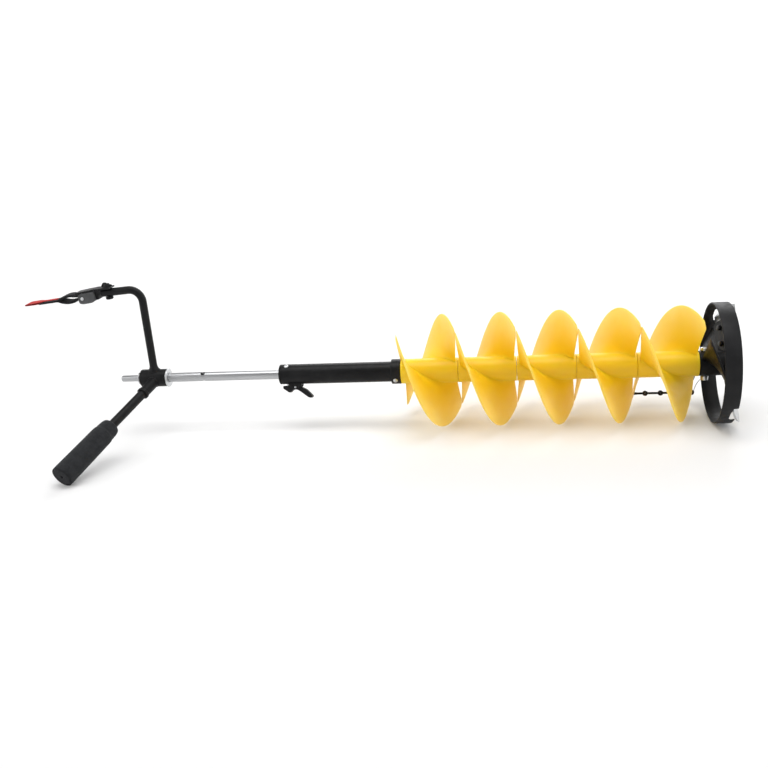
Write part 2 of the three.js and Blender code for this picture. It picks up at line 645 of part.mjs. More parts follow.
// ---------------------------------------------------------------- web strap and its pull tab
// The web comes out of the buckle, opens into a flat loop and runs out as a double tail.
const WEB_WIDTH = 25;
const WEB_THICK = 2.4;
const LOOP_START = 53;
const LOOP_END = 93;
const LOOP_RISE = 7.2;
const LOOP_WALL = 2;
const TAIL_END = 158;
const WEB_END = TAIL_END - 26;
const TAIL_TOP = 0.25;
const WEB_SAG = rad(2);

// One long side of the flat loop: it bulges away from its base line and comes back to it.
function loopSide(base, bulge, inset, steps) {
  const points = [];
  for (let i = 0; i <= steps; i += 1) {
    const share = i / steps;
    const x = THREE.MathUtils.lerp(LOOP_START + inset, LOOP_END - inset, share);
    points.push([x, base + bulge * Math.sin(Math.PI * (0.12 + 0.88 * share))]);
  }
  return points;
}

function onWeb(geometry) {
  return geometry.clone().rotateY(WEB_SAG).translate(0, 0, 0.5);
}

const loopOuter = [
  ...loopSide(-WEB_THICK, -LOOP_RISE, 0, 10),
  [WEB_END, -WEB_THICK],
  [WEB_END, TAIL_TOP],
  ...loopSide(TAIL_TOP, LOOP_RISE, 0, 10).reverse(),
];
const loopInner = [
  ...loopSide(-1, -LOOP_RISE + LOOP_WALL, 4, 8),
  ...loopSide(-1, LOOP_RISE - LOOP_WALL, 4, 8).reverse().slice(1),
];
const looped = cut(plate(loopOuter, WEB_WIDTH), plate(loopInner, WEB_WIDTH + 4));
node('drill_strap', onBracket(onWeb(looped)), WEBBING);
const tabProfile = [
  [LOOP_END + 6, TAIL_TOP + FIT], [WEB_END + FIT, TAIL_TOP + FIT], [WEB_END + FIT, -WEB_THICK],
  [TAIL_END - 2, -WEB_THICK], [TAIL_END, -0.8], [TAIL_END, 0.8], [TAIL_END - 2, WEB_THICK],
  [LOOP_END + 6, 1.8],
];
node('pull_tab', onBracket(onWeb(plate(tabProfile, WEB_WIDTH - 1))), RED_TAB);

// ---------------------------------------------------------------- cutting head
// Each arm carries the screw on from the last module and ends in a flat seat for its blade.
const ARM_THICK = 3.2;
const ARM_SWEEP = 62;            // degrees of screw from the arm's start to its seat
const ARM_SHORT = 29;            // the arm stops this many degrees before its blade's middle
const ARM_SET_BACK = 5.4;      // and runs this far behind the flights' own screw
const SEAT_THICK = 4;
const SEAT_FROM = -27;
const SEAT_TO = 10;
const BLADE_FROM = -28;
const BLADE_TO = 30;
const BLADE_INNER = 27;
const BLADE_OUTER = 99.1;        // the guard ring's bore clears the blades' corners
const BLADE_SCREW_RADII = [37, 66];
const SEAT_INNER = 14;
const SEAT_OUTER = 80;
const BLADE_SCREW_SHIFT = -9;
const BLADE_SCREW_RADIUS = 2.6;
const LAST_X = MODULE_COUNT * MODULE_LENGTH;

// Blade frame: x along the tilted blade towards its edge, y out along the blade, z towards the ice.
function bladeFrame(angle) {
  const out = radial(angle);
  const tangent = radial(angle + 90);
  const forward = new THREE.Vector3(1, 0, 0);
  const tilt = rad(BLADE_TILT);
  const edgeway = tangent.clone().multiplyScalar(Math.cos(tilt)).addScaledVector(forward, Math.sin(tilt));
  const normal = new THREE.Vector3().crossVectors(edgeway, out);
  return new THREE.Matrix4().makeBasis(edgeway, out, normal).setPosition(BLADE_X, 0, 0);
}

function onBlade(geometry, angle) {
  return geometry.clone().applyMatrix4(bladeFrame(angle));
}

const ICE_SIDE = bladeFrame(0).elements[8] > 0 ? 1 : -1;

function layer(x0, x1, y0, y1, low, high) {
  const sides = [low * ICE_SIDE, high * ICE_SIDE];
  return block(x0, x1, y0, y1, Math.min(...sides), Math.max(...sides));
}

function bladePin(radius, low, high, out) {
  return along(bar(low, high, radius, SMALL_ROUND),
    new THREE.Vector3(BLADE_SCREW_SHIFT, out, 0), new THREE.Vector3(0, 0, ICE_SIDE));
}

const headBody = turned([
  [HEAD_LEFT + FIT, 0], [HEAD_LEFT + FIT, HEAD_RADIUS], [HEAD_RIGHT - 1.5, HEAD_RADIUS],
  [HEAD_RIGHT, HEAD_RADIUS - 1.5], [HEAD_RIGHT, 0],
]);
const headBore = bar(HEAD_LEFT - 5, SHAFT_RIGHT + FIT, SHAFT_RADIUS + FIT);
const headArms = [];
const headHoles = [];
for (const angle of BLADE_ANGLES) {
  const armStart = angle - ARM_SHORT - ARM_SWEEP;
  const flightStart = angle > 180 ? FLIGHT_START : FLIGHT_START - 180;
  headArms.push(helicoid({
    start: armStart,
    end: angle - ARM_SHORT,
    startX: LAST_X - ARM_SET_BACK + LEAD * rad(armStart - flightStart),
    radii: [HEAD_RADIUS - 2, 45, 70, HEAD_ARM_RADIUS],
    steps: 6,
    thickness: () => ARM_THICK,
    trim: () => 0,
  }));
  const seatTop = -BLADE_THICK / 2 - FIT;
  headArms.push(onBlade(
    layer(SEAT_FROM, SEAT_TO, SEAT_INNER, SEAT_OUTER, seatTop - SEAT_THICK, seatTop), angle));
  for (const out of BLADE_SCREW_RADII) {
    headHoles.push(onBlade(bladePin(BLADE_SCREW_RADIUS + FIT, -15, 15, out), angle));
  }
}
node('cutting_head', cut(join(headBody, ...headArms), headBore, headBoltHole, ...headHoles), BLACK_PAINT);
node('head_bolt', outward(turned([
  [-28.5, 0], [-28.5, 6], [-21.6, 6.6], [-21.6, HEAD_BOLT_RADIUS], [21.5, HEAD_BOLT_RADIUS], [21.5, 6.8],
  [26, 6.8], [27, 5.6], [27, 0],
], HEX_ROUND), HEAD_BOLT_X, HEAD_BOLT_ANGLE), BRIGHT_STEEL);

BLADE_ANGLES.forEach((angle, i) => {
  const shaftSide = -BLADE_THICK / 2 * ICE_SIDE;
  const chisel = outline([
    [BLADE_FROM, shaftSide], [BLADE_TO - 9, shaftSide], [BLADE_TO, -0.8 * shaftSide],
    [BLADE_TO, -shaftSide], [BLADE_FROM, -shaftSide],
  ]);
  const options = { depth: BLADE_OUTER + 5 - BLADE_INNER, bevelEnabled: false };
  const blank = new THREE.ExtrudeGeometry(chisel, options)
    .rotateX(-Math.PI / 2).translate(0, BLADE_INNER, 0);
  const mirrored = closed(blank.clone().scale(1, 1, -1));
  const heel = block(-60, -8, -30, 30, -20, 20).rotateZ(rad(-16)).translate(-6, BLADE_OUTER + 28, 0);
  const toe = block(-60, -4, -30, 30, -20, 20).rotateZ(rad(20)).translate(-8, BLADE_INNER - 24, 0);
  const screwHoles = BLADE_SCREW_RADII.map((out) => bladePin(BLADE_SCREW_RADIUS + FIT, -15, 15, out));
  const inRing = solid(onBlade(cut(mirrored, heel, toe, ...screwHoles), angle))
    .intersect(solid(bar(BLADE_X - 30, BLADE_X + 30, BLADE_OUTER, 90)));
  node(`blade_${i + 1}`, fromSolid(inRing), BLADE_STEEL);
  BLADE_SCREW_RADII.forEach((out, k) => {
    const low = -BLADE_THICK / 2 - FIT * 2 - SEAT_THICK;
    const high = BLADE_THICK / 2 + FIT;
    const screw = turned([
      [low - 4.2, 0], [low - 4.2, 4.4], [low, 4.8], [low, BLADE_SCREW_RADIUS],
      [high, BLADE_SCREW_RADIUS], [high, 5], [high + 1.2, 4.6], [high + 2.2, 3], [high + 2.2, 0],
    ], SMALL_ROUND);
    const seated = along(
      screw, new THREE.Vector3(BLADE_SCREW_SHIFT, out, 0), new THREE.Vector3(0, 0, ICE_SIDE));
    node(`blade_screw_${2 * i + k + 1}`, onBlade(seated, angle), BLACK_STEEL);
  });
});

// ---------------------------------------------------------------- ring blade guard with its rubber strap
const NOTCH_DEPTH = 11;
const GUARD_ROUND = 54;

// Where a blade's outer corner passes through the ring: an undercut notch from the ring's ice side.
// Drawn behind the blade's middle, so the points' second value runs against the cutting direction.
function notch(angle) {
  const left = GUARD_RIGHT - NOTCH_DEPTH;
  const shape = outline([
    [GUARD_RIGHT + 5, 40], [GUARD_RIGHT - 1, 38], [left + 3, 37], [left, 24], [left, 4],
    [left + 5, -1], [GUARD_RIGHT - 2.5, 1], [GUARD_RIGHT + 5, 1],
  ]);
  const tool = new THREE.ExtrudeGeometry(shape, { depth: 14, bevelEnabled: false });
  return atAngle(tool.translate(0, 0, GUARD_RADIUS - 9), angle);
}
const guardInner = GUARD_RADIUS - GUARD_WALL;
const guardBand = ring(GUARD_LEFT, GUARD_RIGHT, GUARD_RADIUS, guardInner, GUARD_ROUND, 1);
node('blade_guard', cut(guardBand, ...BLADE_ANGLES.map(notch)), BLACK_PLASTIC);

const STRAP_LIFT = FLIGHT_RADIUS + 0.6;
const STRAP_THICK = 2.8;
const STRAP_LEFT = 405;
const EYELET_GAP = 26.6;
const EYELET_HOLE = 1;
const HOOKED_HOLE = 1.7;          // the last eyelet's hole, which the wire passes through
const EYELET_COUNT = 4;
const EYELET_RADIUS = 4.8;
const FIRST_EYELET = 427;
const eyeletXs = Array.from({ length: EYELET_COUNT }, (unused, i) => FIRST_EYELET + i * EYELET_GAP);

function tangentialPlate(points) {
  const geometry = new THREE.ExtrudeGeometry(outline(points), { depth: STRAP_THICK, bevelEnabled: false });
  return geometry.translate(0, 0, STRAP_LIFT);
}

function disc(x, radius, depth, segments) {
  const geometry = new THREE.ExtrudeGeometry(circle(radius, segments), { depth, bevelEnabled: false });
  return geometry.translate(x, 0, STRAP_LIFT);
}
const rubberBand = tangentialPlate([[STRAP_LEFT, -2.4], [STRAP_LEFT + 9, -1.5], [eyeletXs.at(-1), -1.5],
  [eyeletXs.at(-1), 1.5], [STRAP_LEFT + 9, 1.5], [STRAP_LEFT, 2.4]]);
const eyelets = eyeletXs.map((x) => disc(x, EYELET_RADIUS, STRAP_THICK, 14));
const eyeletHoles = eyeletXs.map((x, i) => {
  const hole = i === EYELET_COUNT - 1 ? HOOKED_HOLE : EYELET_HOLE;
  return disc(x, hole, STRAP_THICK + 4, 10).translate(0, 0, -2);
});
node('guard_strap', atAngle(cut(join(rubberBand, ...eyelets), ...eyeletHoles), GUARD_STRAP_ANGLE), RUBBER);

const WIRE_RADIUS = 0.9;
function wirePoint(x, angle, out) {
  return new THREE.Vector3(x, 0, 0).addScaledVector(radial(angle), out);
}
const lastEyelet = eyeletXs.at(-1);
const wirePath = new THREE.CatmullRomCurve3([
  wirePoint(lastEyelet - 0.3, GUARD_STRAP_ANGLE, STRAP_LIFT - 1),
  wirePoint(lastEyelet, GUARD_STRAP_ANGLE, STRAP_LIFT + 1.2),
  wirePoint(lastEyelet + 0.3, GUARD_STRAP_ANGLE, STRAP_LIFT + STRAP_THICK + 0.8),
  wirePoint(lastEyelet + 3.5, GUARD_STRAP_ANGLE + 1.5, STRAP_LIFT + STRAP_THICK + 1.6),
  wirePoint(515, 317.5, FLIGHT_RADIUS + 1.6),
  wirePoint(522, 323, 97.4),
  wirePoint(531, 327, 96.8),
]);
node('guard_hook', tube(wirePath, WIRE_RADIUS, 6, 22), BRIGHT_STEEL);

// ---------------------------------------------------------------- origin: middle of the ground under it
const bounds = new THREE.Box3().setFromObject(auger);
const centre = bounds.getCenter(new THREE.Vector3());
auger.position.set(-centre.x, -centre.y, -bounds.min.z);
auger.updateMatrixWorld(true);

export default auger;
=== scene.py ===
"""Drill-driven ice auger lying on a pale studio floor.

The scene is in metres and +X runs along the shaft, from the drill's shank to the blades. Named sizes are in
millimetres and named angles in degrees, except where a comment says otherwise.
"""

import json
import math

import bmesh
import bpy
from mathutils import Matrix, Vector, noise


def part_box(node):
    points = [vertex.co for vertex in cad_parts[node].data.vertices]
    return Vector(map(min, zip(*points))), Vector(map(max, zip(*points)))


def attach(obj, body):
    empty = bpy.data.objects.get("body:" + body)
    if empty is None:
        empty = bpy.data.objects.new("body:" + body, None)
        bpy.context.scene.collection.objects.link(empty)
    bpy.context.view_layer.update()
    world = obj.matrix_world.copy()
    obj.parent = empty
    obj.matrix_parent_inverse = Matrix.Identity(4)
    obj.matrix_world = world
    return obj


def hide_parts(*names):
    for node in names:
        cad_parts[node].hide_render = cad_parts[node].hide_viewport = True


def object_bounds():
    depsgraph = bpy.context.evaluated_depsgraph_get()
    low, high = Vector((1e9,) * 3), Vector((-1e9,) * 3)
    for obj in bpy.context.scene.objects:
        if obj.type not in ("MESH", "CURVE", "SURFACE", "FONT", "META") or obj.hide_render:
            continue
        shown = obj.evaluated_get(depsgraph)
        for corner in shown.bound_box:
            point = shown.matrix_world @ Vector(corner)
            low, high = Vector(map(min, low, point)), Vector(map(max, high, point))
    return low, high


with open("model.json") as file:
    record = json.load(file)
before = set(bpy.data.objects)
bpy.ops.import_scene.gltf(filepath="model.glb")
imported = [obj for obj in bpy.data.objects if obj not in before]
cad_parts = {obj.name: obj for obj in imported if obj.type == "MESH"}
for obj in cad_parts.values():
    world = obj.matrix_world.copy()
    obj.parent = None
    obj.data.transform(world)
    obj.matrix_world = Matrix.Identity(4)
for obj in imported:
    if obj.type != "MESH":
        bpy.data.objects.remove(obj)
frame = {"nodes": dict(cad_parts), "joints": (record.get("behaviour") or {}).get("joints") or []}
cad_low, cad_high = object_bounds()

MM = 0.001
SHAFT = Vector((1, 0, 0))
UP = Vector((0, 0, 1))
CORE_SHAFT_LEFT = -70            # where the core shaft starts, counted from the first flight module
MODULES = 5
MODULE_LENGTH = 100.5
CORE_RADIUS = 21.7
FLIGHT_RADIUS = 98.5
LEVER_ANGLE = 250


# ---------------------------------------------------------------- places
def shaft_origin():
    """The point on the shaft's axis where the first flight module starts."""
    low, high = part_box("core_shaft")
    middle = (low + high) / 2
    return Vector((low.x - CORE_SHAFT_LEFT * MM, middle.y, middle.z))


ORIGIN = shaft_origin()


def place(x, y=0.0, z=0.0):
    """A point given in millimetres from the shaft's origin."""
    return ORIGIN + Vector((x, y, z)) * MM


def radial(angle):
    return Vector((0, math.cos(math.radians(angle)), math.sin(math.radians(angle))))


def around(x, radius, angle):
    return place(x) + radial(angle) * radius * MM


def span(node):
    """First and last station of a node along the shaft, in millimetres from the origin."""
    low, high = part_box(node)
    return (low.x - ORIGIN.x) / MM, (high.x - ORIGIN.x) / MM


def joint(name):
    return next(j for j in frame["joints"] if j["name"] == name)


# ---------------------------------------------------------------- camera
CAMERA_PLACE = (199.7, -1497, 519.5)
CAMERA_YAW = 8.31
CAMERA_ROLL = 1.42
CAMERA_PITCH = -0.13
CAMERA_TILT = 20                 # the camera looks down on the lying auger by this angle
CAMERA_LENS = 42.47
SENSOR_WIDTH = 36


def make_camera():
    yaw, roll, pitch = (math.radians(turn) for turn in (CAMERA_YAW, CAMERA_ROLL, CAMERA_PITCH))
    right = Vector((math.cos(roll) * math.cos(yaw), math.sin(yaw), -math.sin(roll) * math.cos(yaw)))
    level_forward = Vector((-math.cos(roll) * math.sin(yaw), math.cos(yaw), math.sin(roll) * math.sin(yaw)))
    level_up = Vector((math.sin(roll), 0, math.cos(roll)))
    forward = level_forward * math.cos(pitch) + level_up * math.sin(pitch)
    up = level_up * math.cos(pitch) - level_forward * math.sin(pitch)
    tilt = Matrix.Rotation(math.radians(-CAMERA_TILT), 3, "X")
    turn = Matrix((tilt @ right, tilt @ up, tilt @ -forward)).transposed()
    data = bpy.data.cameras.new("camera")
    data.sensor_width = SENSOR_WIDTH
    data.lens = CAMERA_LENS
    camera = bpy.data.objects.new("camera", data)
    camera.matrix_world = Matrix.Translation(place(*CAMERA_PLACE)) @ turn.to_4x4()
    bpy.context.scene.collection.objects.link(camera)
    bpy.context.scene.camera = camera


make_camera()


# ---------------------------------------------------------------- material helpers
class Finish:
    """A material with short calls for the nodes that these finishes share."""

    def __init__(self, name, color, roughness, metallic=0.0):
        self.material = bpy.data.materials.new(name)
        self.material.use_nodes = True
        self.tree = self.material.node_tree
        self.shader = self.tree.nodes["Principled BSDF"]
        self.output = self.tree.nodes["Material Output"]
        self.shader.inputs["Base Color"].default_value = (*color, 1)
        self.shader.inputs["Roughness"].default_value = roughness
        self.shader.inputs["Metallic"].default_value = metallic
        self.bumps = []

    def link(self, source, target):
        self.tree.links.new(source, target)

    def add(self, kind):
        return self.tree.nodes.new(kind)

    def coordinates(self, stretch=(1, 1, 1)):
        where = self.add("ShaderNodeTexCoord")
        mapping = self.add("ShaderNodeMapping")
        mapping.inputs["Scale"].default_value = stretch
        self.link(where.outputs["Object"], mapping.inputs["Vector"])
        return mapping.outputs["Vector"]

    def noise(self, scale, detail=4, stretch=(1, 1, 1)):
        texture = self.add("ShaderNodeTexNoise")
        texture.inputs["Scale"].default_value = scale
        texture.inputs["Detail"].default_value = detail
        texture.inputs["Roughness"].default_value = 0.55
        self.link(self.coordinates(stretch), texture.inputs["Vector"])
        return texture.outputs["Fac"]

    def ranged(self, value, low, high, new_low, new_high):
        scaled = self.add("ShaderNodeMapRange")
        scaled.inputs["From Min"].default_value = low
        scaled.inputs["From Max"].default_value = high
        scaled.inputs["To Min"].default_value = new_low
        scaled.inputs["To Max"].default_value = new_high
        self.link(value, scaled.inputs["Value"])
        return scaled.outputs["Result"]

    def mixed(self, share, first, second):
        mix = self.add("ShaderNodeMix")
        mix.data_type = "RGBA"
        self.link(share, mix.inputs["Factor"])
        for color, socket in ((first, mix.inputs["A"]), (second, mix.inputs["B"])):
            if isinstance(color, tuple):
                socket.default_value = (*color, 1)
            else:
                self.link(color, socket)
        return mix.outputs["Result"]

    def bump(self, height, depth, strength=1.0):
        bump = self.add("ShaderNodeBump")
        bump.inputs["Distance"].default_value = depth
        bump.inputs["Strength"].default_value = strength
        self.link(height, bump.inputs["Height"])
        if self.bumps:
            self.link(self.bumps[-1].outputs["Normal"], bump.inputs["Normal"])
        self.bumps.append(bump)
        self.link(bump.outputs["Normal"], self.shader.inputs["Normal"])

    def color(self, value):
        self.link(value, self.shader.inputs["Base Color"])

    def roughness(self, value):
        self.link(value, self.shader.inputs["Roughness"])


def axis_distance(finish):
    """Distance from the shaft's axis, in metres."""
    where = finish.add("ShaderNodeTexCoord")
    parts = finish.add("ShaderNodeSeparateXYZ")
    finish.link(where.outputs["Object"], parts.inputs["Vector"])
    combined = finish.add("ShaderNodeCombineXYZ")
    for side, centre in (("Y", ORIGIN.y), ("Z", ORIGIN.z)):
        offset = finish.add("ShaderNodeMath")
        offset.operation = "SUBTRACT"
        offset.inputs[1].default_value = centre
        finish.link(parts.outputs[side], offset.inputs[0])
        finish.link(offset.outputs["Value"], combined.inputs[side])
    length = finish.add("ShaderNodeVectorMath")
    length.operation = "LENGTH"
    finish.link(combined.outputs["Vector"], length.inputs[0])
    return length.outputs["Value"]


# ---------------------------------------------------------------- finishes
def make_nylon():
    finish = Finish("yellow_nylon", (0.87, 0.47, 0.01), 0.42)
    reach = finish.ranged(axis_distance(finish), CORE_RADIUS * MM, FLIGHT_RADIUS * MM, 0, 1)
    cloud = finish.ranged(finish.noise(14, 3), 0.3, 0.7, -0.12, 0.12)
    # Share from the core out to the thin outer edge, with some random cloud added. The same share also
    # raises and pales the real translucency.
    rim_glow_share = finish.add("ShaderNodeMath")
    rim_glow_share.operation = "ADD"
    rim_glow_share.use_clamp = True
    finish.link(reach, rim_glow_share.inputs[0])
    finish.link(cloud, rim_glow_share.inputs[1])
    # Base colour paler towards the outer edge: painted light shining through the thin edge.
    skin = finish.mixed(rim_glow_share.outputs["Value"], (0.96, 0.66, 0.012), (0.97, 0.71, 0.07))
    finish.color(skin)
    finish.roughness(finish.ranged(finish.noise(160, 5), 0.3, 0.7, 0.34, 0.5))
    finish.bump(finish.noise(900, 3), 0.00006, 0.5)
    finish.bump(finish.noise(22, 3, stretch=(1, 0.4, 0.4)), 0.0006, 0.35)
    shader = finish.shader
    shader.inputs["Subsurface Weight"].default_value = 0.35
    shader.inputs["Subsurface Radius"].default_value = (1.0, 0.72, 0.2)
    shader.inputs["Subsurface Scale"].default_value = 0.004
    shader.inputs["Specular IOR Level"].default_value = 0.4
    through = finish.add("ShaderNodeBsdfTranslucent")
    glow = finish.mixed(rim_glow_share.outputs["Value"], (0.98, 0.74, 0.05), (1.0, 0.93, 0.62))
    finish.link(glow, through.inputs["Color"])
    blend = finish.add("ShaderNodeMixShader")
    finish.link(finish.ranged(rim_glow_share.outputs["Value"], 0, 1, 0.12, 0.5), blend.inputs["Fac"])
    finish.link(shader.outputs["BSDF"], blend.inputs[1])
    finish.link(through.outputs["BSDF"], blend.inputs[2])
    finish.link(blend.outputs["Shader"], finish.output.inputs["Surface"])
    return finish.material


def make_black_paint():
    finish = Finish("black_paint", (0.005, 0.005, 0.0055), 0.42)
    wear = finish.ranged(finish.noise(45, 6), 0.35, 0.75, 0, 1)
    finish.color(finish.mixed(wear, (0.0035, 0.0035, 0.004), (0.009, 0.009, 0.0095)))
    finish.roughness(finish.ranged(finish.noise(220, 5), 0.3, 0.7, 0.36, 0.52))
    finish.bump(finish.noise(1500, 3), 0.00008, 0.55)
    finish.shader.inputs["Specular IOR Level"].default_value = 0.18
    return finish.material


def make_black_steel():
    finish = Finish("black_steel", (0.012, 0.012, 0.013), 0.4, 0.5)
    oil = finish.ranged(finish.noise(160, 5), 0.3, 0.7, 0, 1)
    finish.color(finish.mixed(oil, (0.008, 0.008, 0.009), (0.018, 0.018, 0.02)))
    finish.roughness(finish.ranged(finish.noise(400, 4), 0.3, 0.7, 0.32, 0.5))
    finish.bump(finish.noise(1800, 3), 0.00005, 0.4)
    return finish.material


def make_black_plastic():
    finish = Finish("black_plastic", (0.006, 0.006, 0.0065), 0.5)
    wear = finish.ranged(finish.noise(30, 5), 0.3, 0.7, 0, 1)
    finish.color(finish.mixed(wear, (0.004, 0.004, 0.0045), (0.010, 0.010, 0.011)))
    finish.shader.inputs["Specular IOR Level"].default_value = 0.2
    finish.roughness(finish.ranged(finish.noise(120, 5), 0.3, 0.7, 0.42, 0.6))
    finish.bump(finish.noise(2600, 2), 0.00006, 0.6)
    finish.bump(finish.noise(60, 4), 0.0003, 0.15)
    return finish.material


def make_steel(name, color, roughness, stretch, grain):
    """Bright metal whose fine grain runs the way that stretch is small."""
    finish = Finish(name, color, roughness, 1.0)
    lines = finish.noise(grain, 4, stretch=stretch)
    darker = tuple(0.92 * part for part in color)
    finish.color(finish.mixed(finish.ranged(lines, 0.35, 0.65, 0, 1), darker, color))
    smudge = finish.ranged(finish.noise(35, 4), 0.3, 0.7, roughness - 0.03, roughness + 0.04)
    finish.roughness(smudge)
    finish.bump(lines, 0.00002, 0.06)
    return finish.material


def make_bronze():
    finish = Finish("bronze", (0.42, 0.27, 0.12), 0.45, 1.0)
    pores = finish.noise(1800, 2)
    finish.color(finish.mixed(finish.ranged(pores, 0.4, 0.6, 0, 1), (0.25, 0.16, 0.08), (0.45, 0.30, 0.14)))
    finish.bump(pores, 0.00005, 0.5)
    return finish.material


def make_foam():
    finish = Finish("foam_grip", (0.014, 0.015, 0.0165), 0.9)
    cells = finish.add("ShaderNodeTexVoronoi")
    cells.inputs["Scale"].default_value = 1500
    finish.link(finish.coordinates(), cells.inputs["Vector"])
    mottle = finish.ranged(finish.noise(90, 6), 0.3, 0.7, 0, 1)
    finish.color(finish.mixed(mottle, (0.011, 0.012, 0.0135), (0.021, 0.022, 0.0245)))
    finish.shader.inputs["Specular IOR Level"].default_value = 0.2
    finish.roughness(finish.ranged(finish.noise(300, 4), 0.3, 0.7, 0.78, 0.98))
    finish.bump(cells.outputs["Distance"], 0.00025, 0.5)
    finish.bump(finish.noise(120, 5), 0.0004, 0.25)
    finish.shader.inputs["Sheen Weight"].default_value = 0.04
    finish.shader.inputs["Sheen Roughness"].default_value = 0.5
    return finish.material


def make_rubber():
    finish = Finish("rubber", (0.005, 0.005, 0.0055), 0.62)
    dust = finish.ranged(finish.noise(70, 6), 0.4, 0.75, 0, 1)
    finish.color(finish.mixed(dust, (0.004, 0.004, 0.0042), (0.010, 0.010, 0.010)))
    finish.shader.inputs["Specular IOR Level"].default_value = 0.2
    finish.roughness(finish.ranged(finish.noise(260, 4), 0.3, 0.7, 0.52, 0.75))
    finish.bump(finish.noise(1400, 3), 0.00006, 0.5)
    return finish.material


def make_web(name, dark, light):
    """Woven web: warp and weft as crossed waves, over the ribs that the mesh itself has."""
    finish = Finish(name, dark, 0.85)
    threads = []
    for direction, scale in (("X", 414.01), ("Y", 238.85)):
        wave = finish.add("ShaderNodeTexWave")
        wave.wave_type = "BANDS"
        wave.bands_direction = direction
        wave.inputs["Scale"].default_value = scale
        wave.inputs["Distortion"].default_value = 0.6
        wave.inputs["Detail"].default_value = 1
        finish.link(finish.coordinates(), wave.inputs["Vector"])
        threads.append(wave.outputs["Fac"])
    weave = finish.add("ShaderNodeMath")
    weave.operation = "MULTIPLY"
    finish.link(threads[0], weave.inputs[0])
    finish.link(threads[1], weave.inputs[1])
    fuzz = finish.ranged(finish.noise(240, 5), 0.3, 0.7, 0, 1)
    shade = finish.mixed(weave.outputs["Value"], dark, light)
    finish.color(finish.mixed(fuzz, shade, light))
    finish.bump(weave.outputs["Value"], 0.0002, 0.7)
    finish.shader.inputs["Specular IOR Level"].default_value = 0.15
    finish.shader.inputs["Sheen Weight"].default_value = 0.05
    return finish.material


def make_grey_plastic():
    finish = Finish("grey_plastic", (0.035, 0.036, 0.038), 0.5)
    patches = finish.ranged(finish.noise(50, 5), 0.3, 0.7, 0, 1)
    finish.color(finish.mixed(patches, (0.045, 0.046, 0.048), (0.075, 0.076, 0.078)))
    finish.shader.inputs["Specular IOR Level"].default_value = 0.3
    finish.roughness(finish.ranged(finish.noise(180, 5), 0.3, 0.7, 0.4, 0.62))
    finish.bump(finish.noise(2200, 3), 0.00008, 0.6)
    return finish.material


EVEN_GRAIN = (1, 1, 1)
SHAFT_GRAIN = (0.04, 1, 1)
BLADE_GRAIN = (1, 0.06, 1)
LOOKS = {
    "yellow_nylon": make_nylon(),
    "black_paint": make_black_paint(),
    "black_plastic": make_black_plastic(),
    "black_steel": make_black_steel(),
    "bright_steel": make_steel("bright_steel", (0.62, 0.63, 0.64), 0.33, EVEN_GRAIN, 400),
    "silver_rod": make_steel("silver_rod", (0.46, 0.465, 0.475), 0.36, SHAFT_GRAIN, 900),
    "blade_steel": make_steel("blade_steel", (0.60, 0.61, 0.62), 0.3, BLADE_GRAIN, 700),
    "bronze": make_bronze(),
    "foam_grip": make_foam(),
    "rubber": make_rubber(),
    "webbing": make_web("webbing", (0.004, 0.004, 0.0045), (0.014, 0.014, 0.016)),
    "red_tab": make_web("red_tab", (0.32, 0.012, 0.012), (0.50, 0.035, 0.03)),
    "grey_plastic": make_grey_plastic(),
}


# ---------------------------------------------------------------- mesh helpers
def new_object(name, mesh):
    piece = bpy.data.objects.new(name, mesh)
    bpy.context.scene.collection.objects.link(piece)
    return piece


def smooth(mesh, angle=32):
    for face in mesh.polygons:
        face.use_smooth = True
    mesh.set_sharp_from_angle(angle=math.radians(angle))


def solid(name, vertices, faces, angle=32):
    """A mesh object with its faces pointing out."""
    mesh = bpy.data.meshes.new(name)
    mesh.from_pydata([tuple(v) for v in vertices], [], faces)
    shape = bmesh.new()
    shape.from_mesh(mesh)
    bmesh.ops.remove_doubles(shape, verts=shape.verts, dist=1e-7)
    bmesh.ops.recalc_face_normals(shape, faces=shape.faces)
    shape.to_mesh(mesh)
    shape.free()
    smooth(mesh, angle)
    return new_object(name, mesh)


def loft(name, rings, closed=False, angle=32):
    """Skins rings of the same number of points; an open loft gets flat ends."""
    count = len(rings[0])
    vertices = [point for one in rings for point in one]
    faces = []
    last = len(rings) if closed else len(rings) - 1
    for i in range(last):
        a, b = i * count, ((i + 1) % len(rings)) * count
        for k in range(count):
            n = (k + 1) % count
            faces.append((a + k, a + n, b + n, b + k))
    if not closed:
        faces.append(tuple(range(count)))
        faces.append(tuple(range(len(vertices) - count, len(vertices))))
    return solid(name, vertices, faces, angle)


def rounded(points, radius, closed=False, steps=4):
    """The outline with each corner turned into an arc of about that radius."""
    corners = [Vector(p) for p in points]
    result = []
    for i, corner in enumerate(corners):
        if not closed and i in (0, len(corners) - 1):
            result.append(corner)
            continue
        before = corners[i - 1] - corner
        after = corners[(i + 1) % len(corners)] - corner
        cut = min(radius, 0.45 * before.length, 0.45 * after.length)
        start = corner + before.normalized() * cut
        end = corner + after.normalized() * cut
        for k in range(steps + 1):
            t = k / steps
            result.append(start.lerp(corner, t).lerp(corner.lerp(end, t), t))
    return result


def frame_along(axis):
    side = axis.orthogonal().normalized()
    return side, axis.cross(side).normalized()


def basis_at(where, x_way, y_way, z_way):
    """A placed basis with its axes along the three directions."""
    basis = Matrix((x_way, y_way, z_way)).transposed().to_4x4()
    basis.translation = where
    return basis


def circle(middle, side, up, radius, segments):
    """Points round a middle in metres; the radius is in millimetres."""
    turns = [2 * math.pi * k / segments for k in range(segments)]
    return [middle + (side * math.cos(turn) + up * math.sin(turn)) * radius * MM for turn in turns]


def lathe(name, profile, base, axis, segments=72, closed=False, fillet=0.0):
    """Turns (station, radius) points in millimetres about an axis that starts at base."""
    axis = axis.normalized()
    side, up = frame_along(axis)
    outline = rounded(profile, fillet, closed) if fillet else profile
    rings = [circle(base + axis * station * MM, side, up, radius, segments) for station, radius in outline]
    return loft(name, rings, closed)


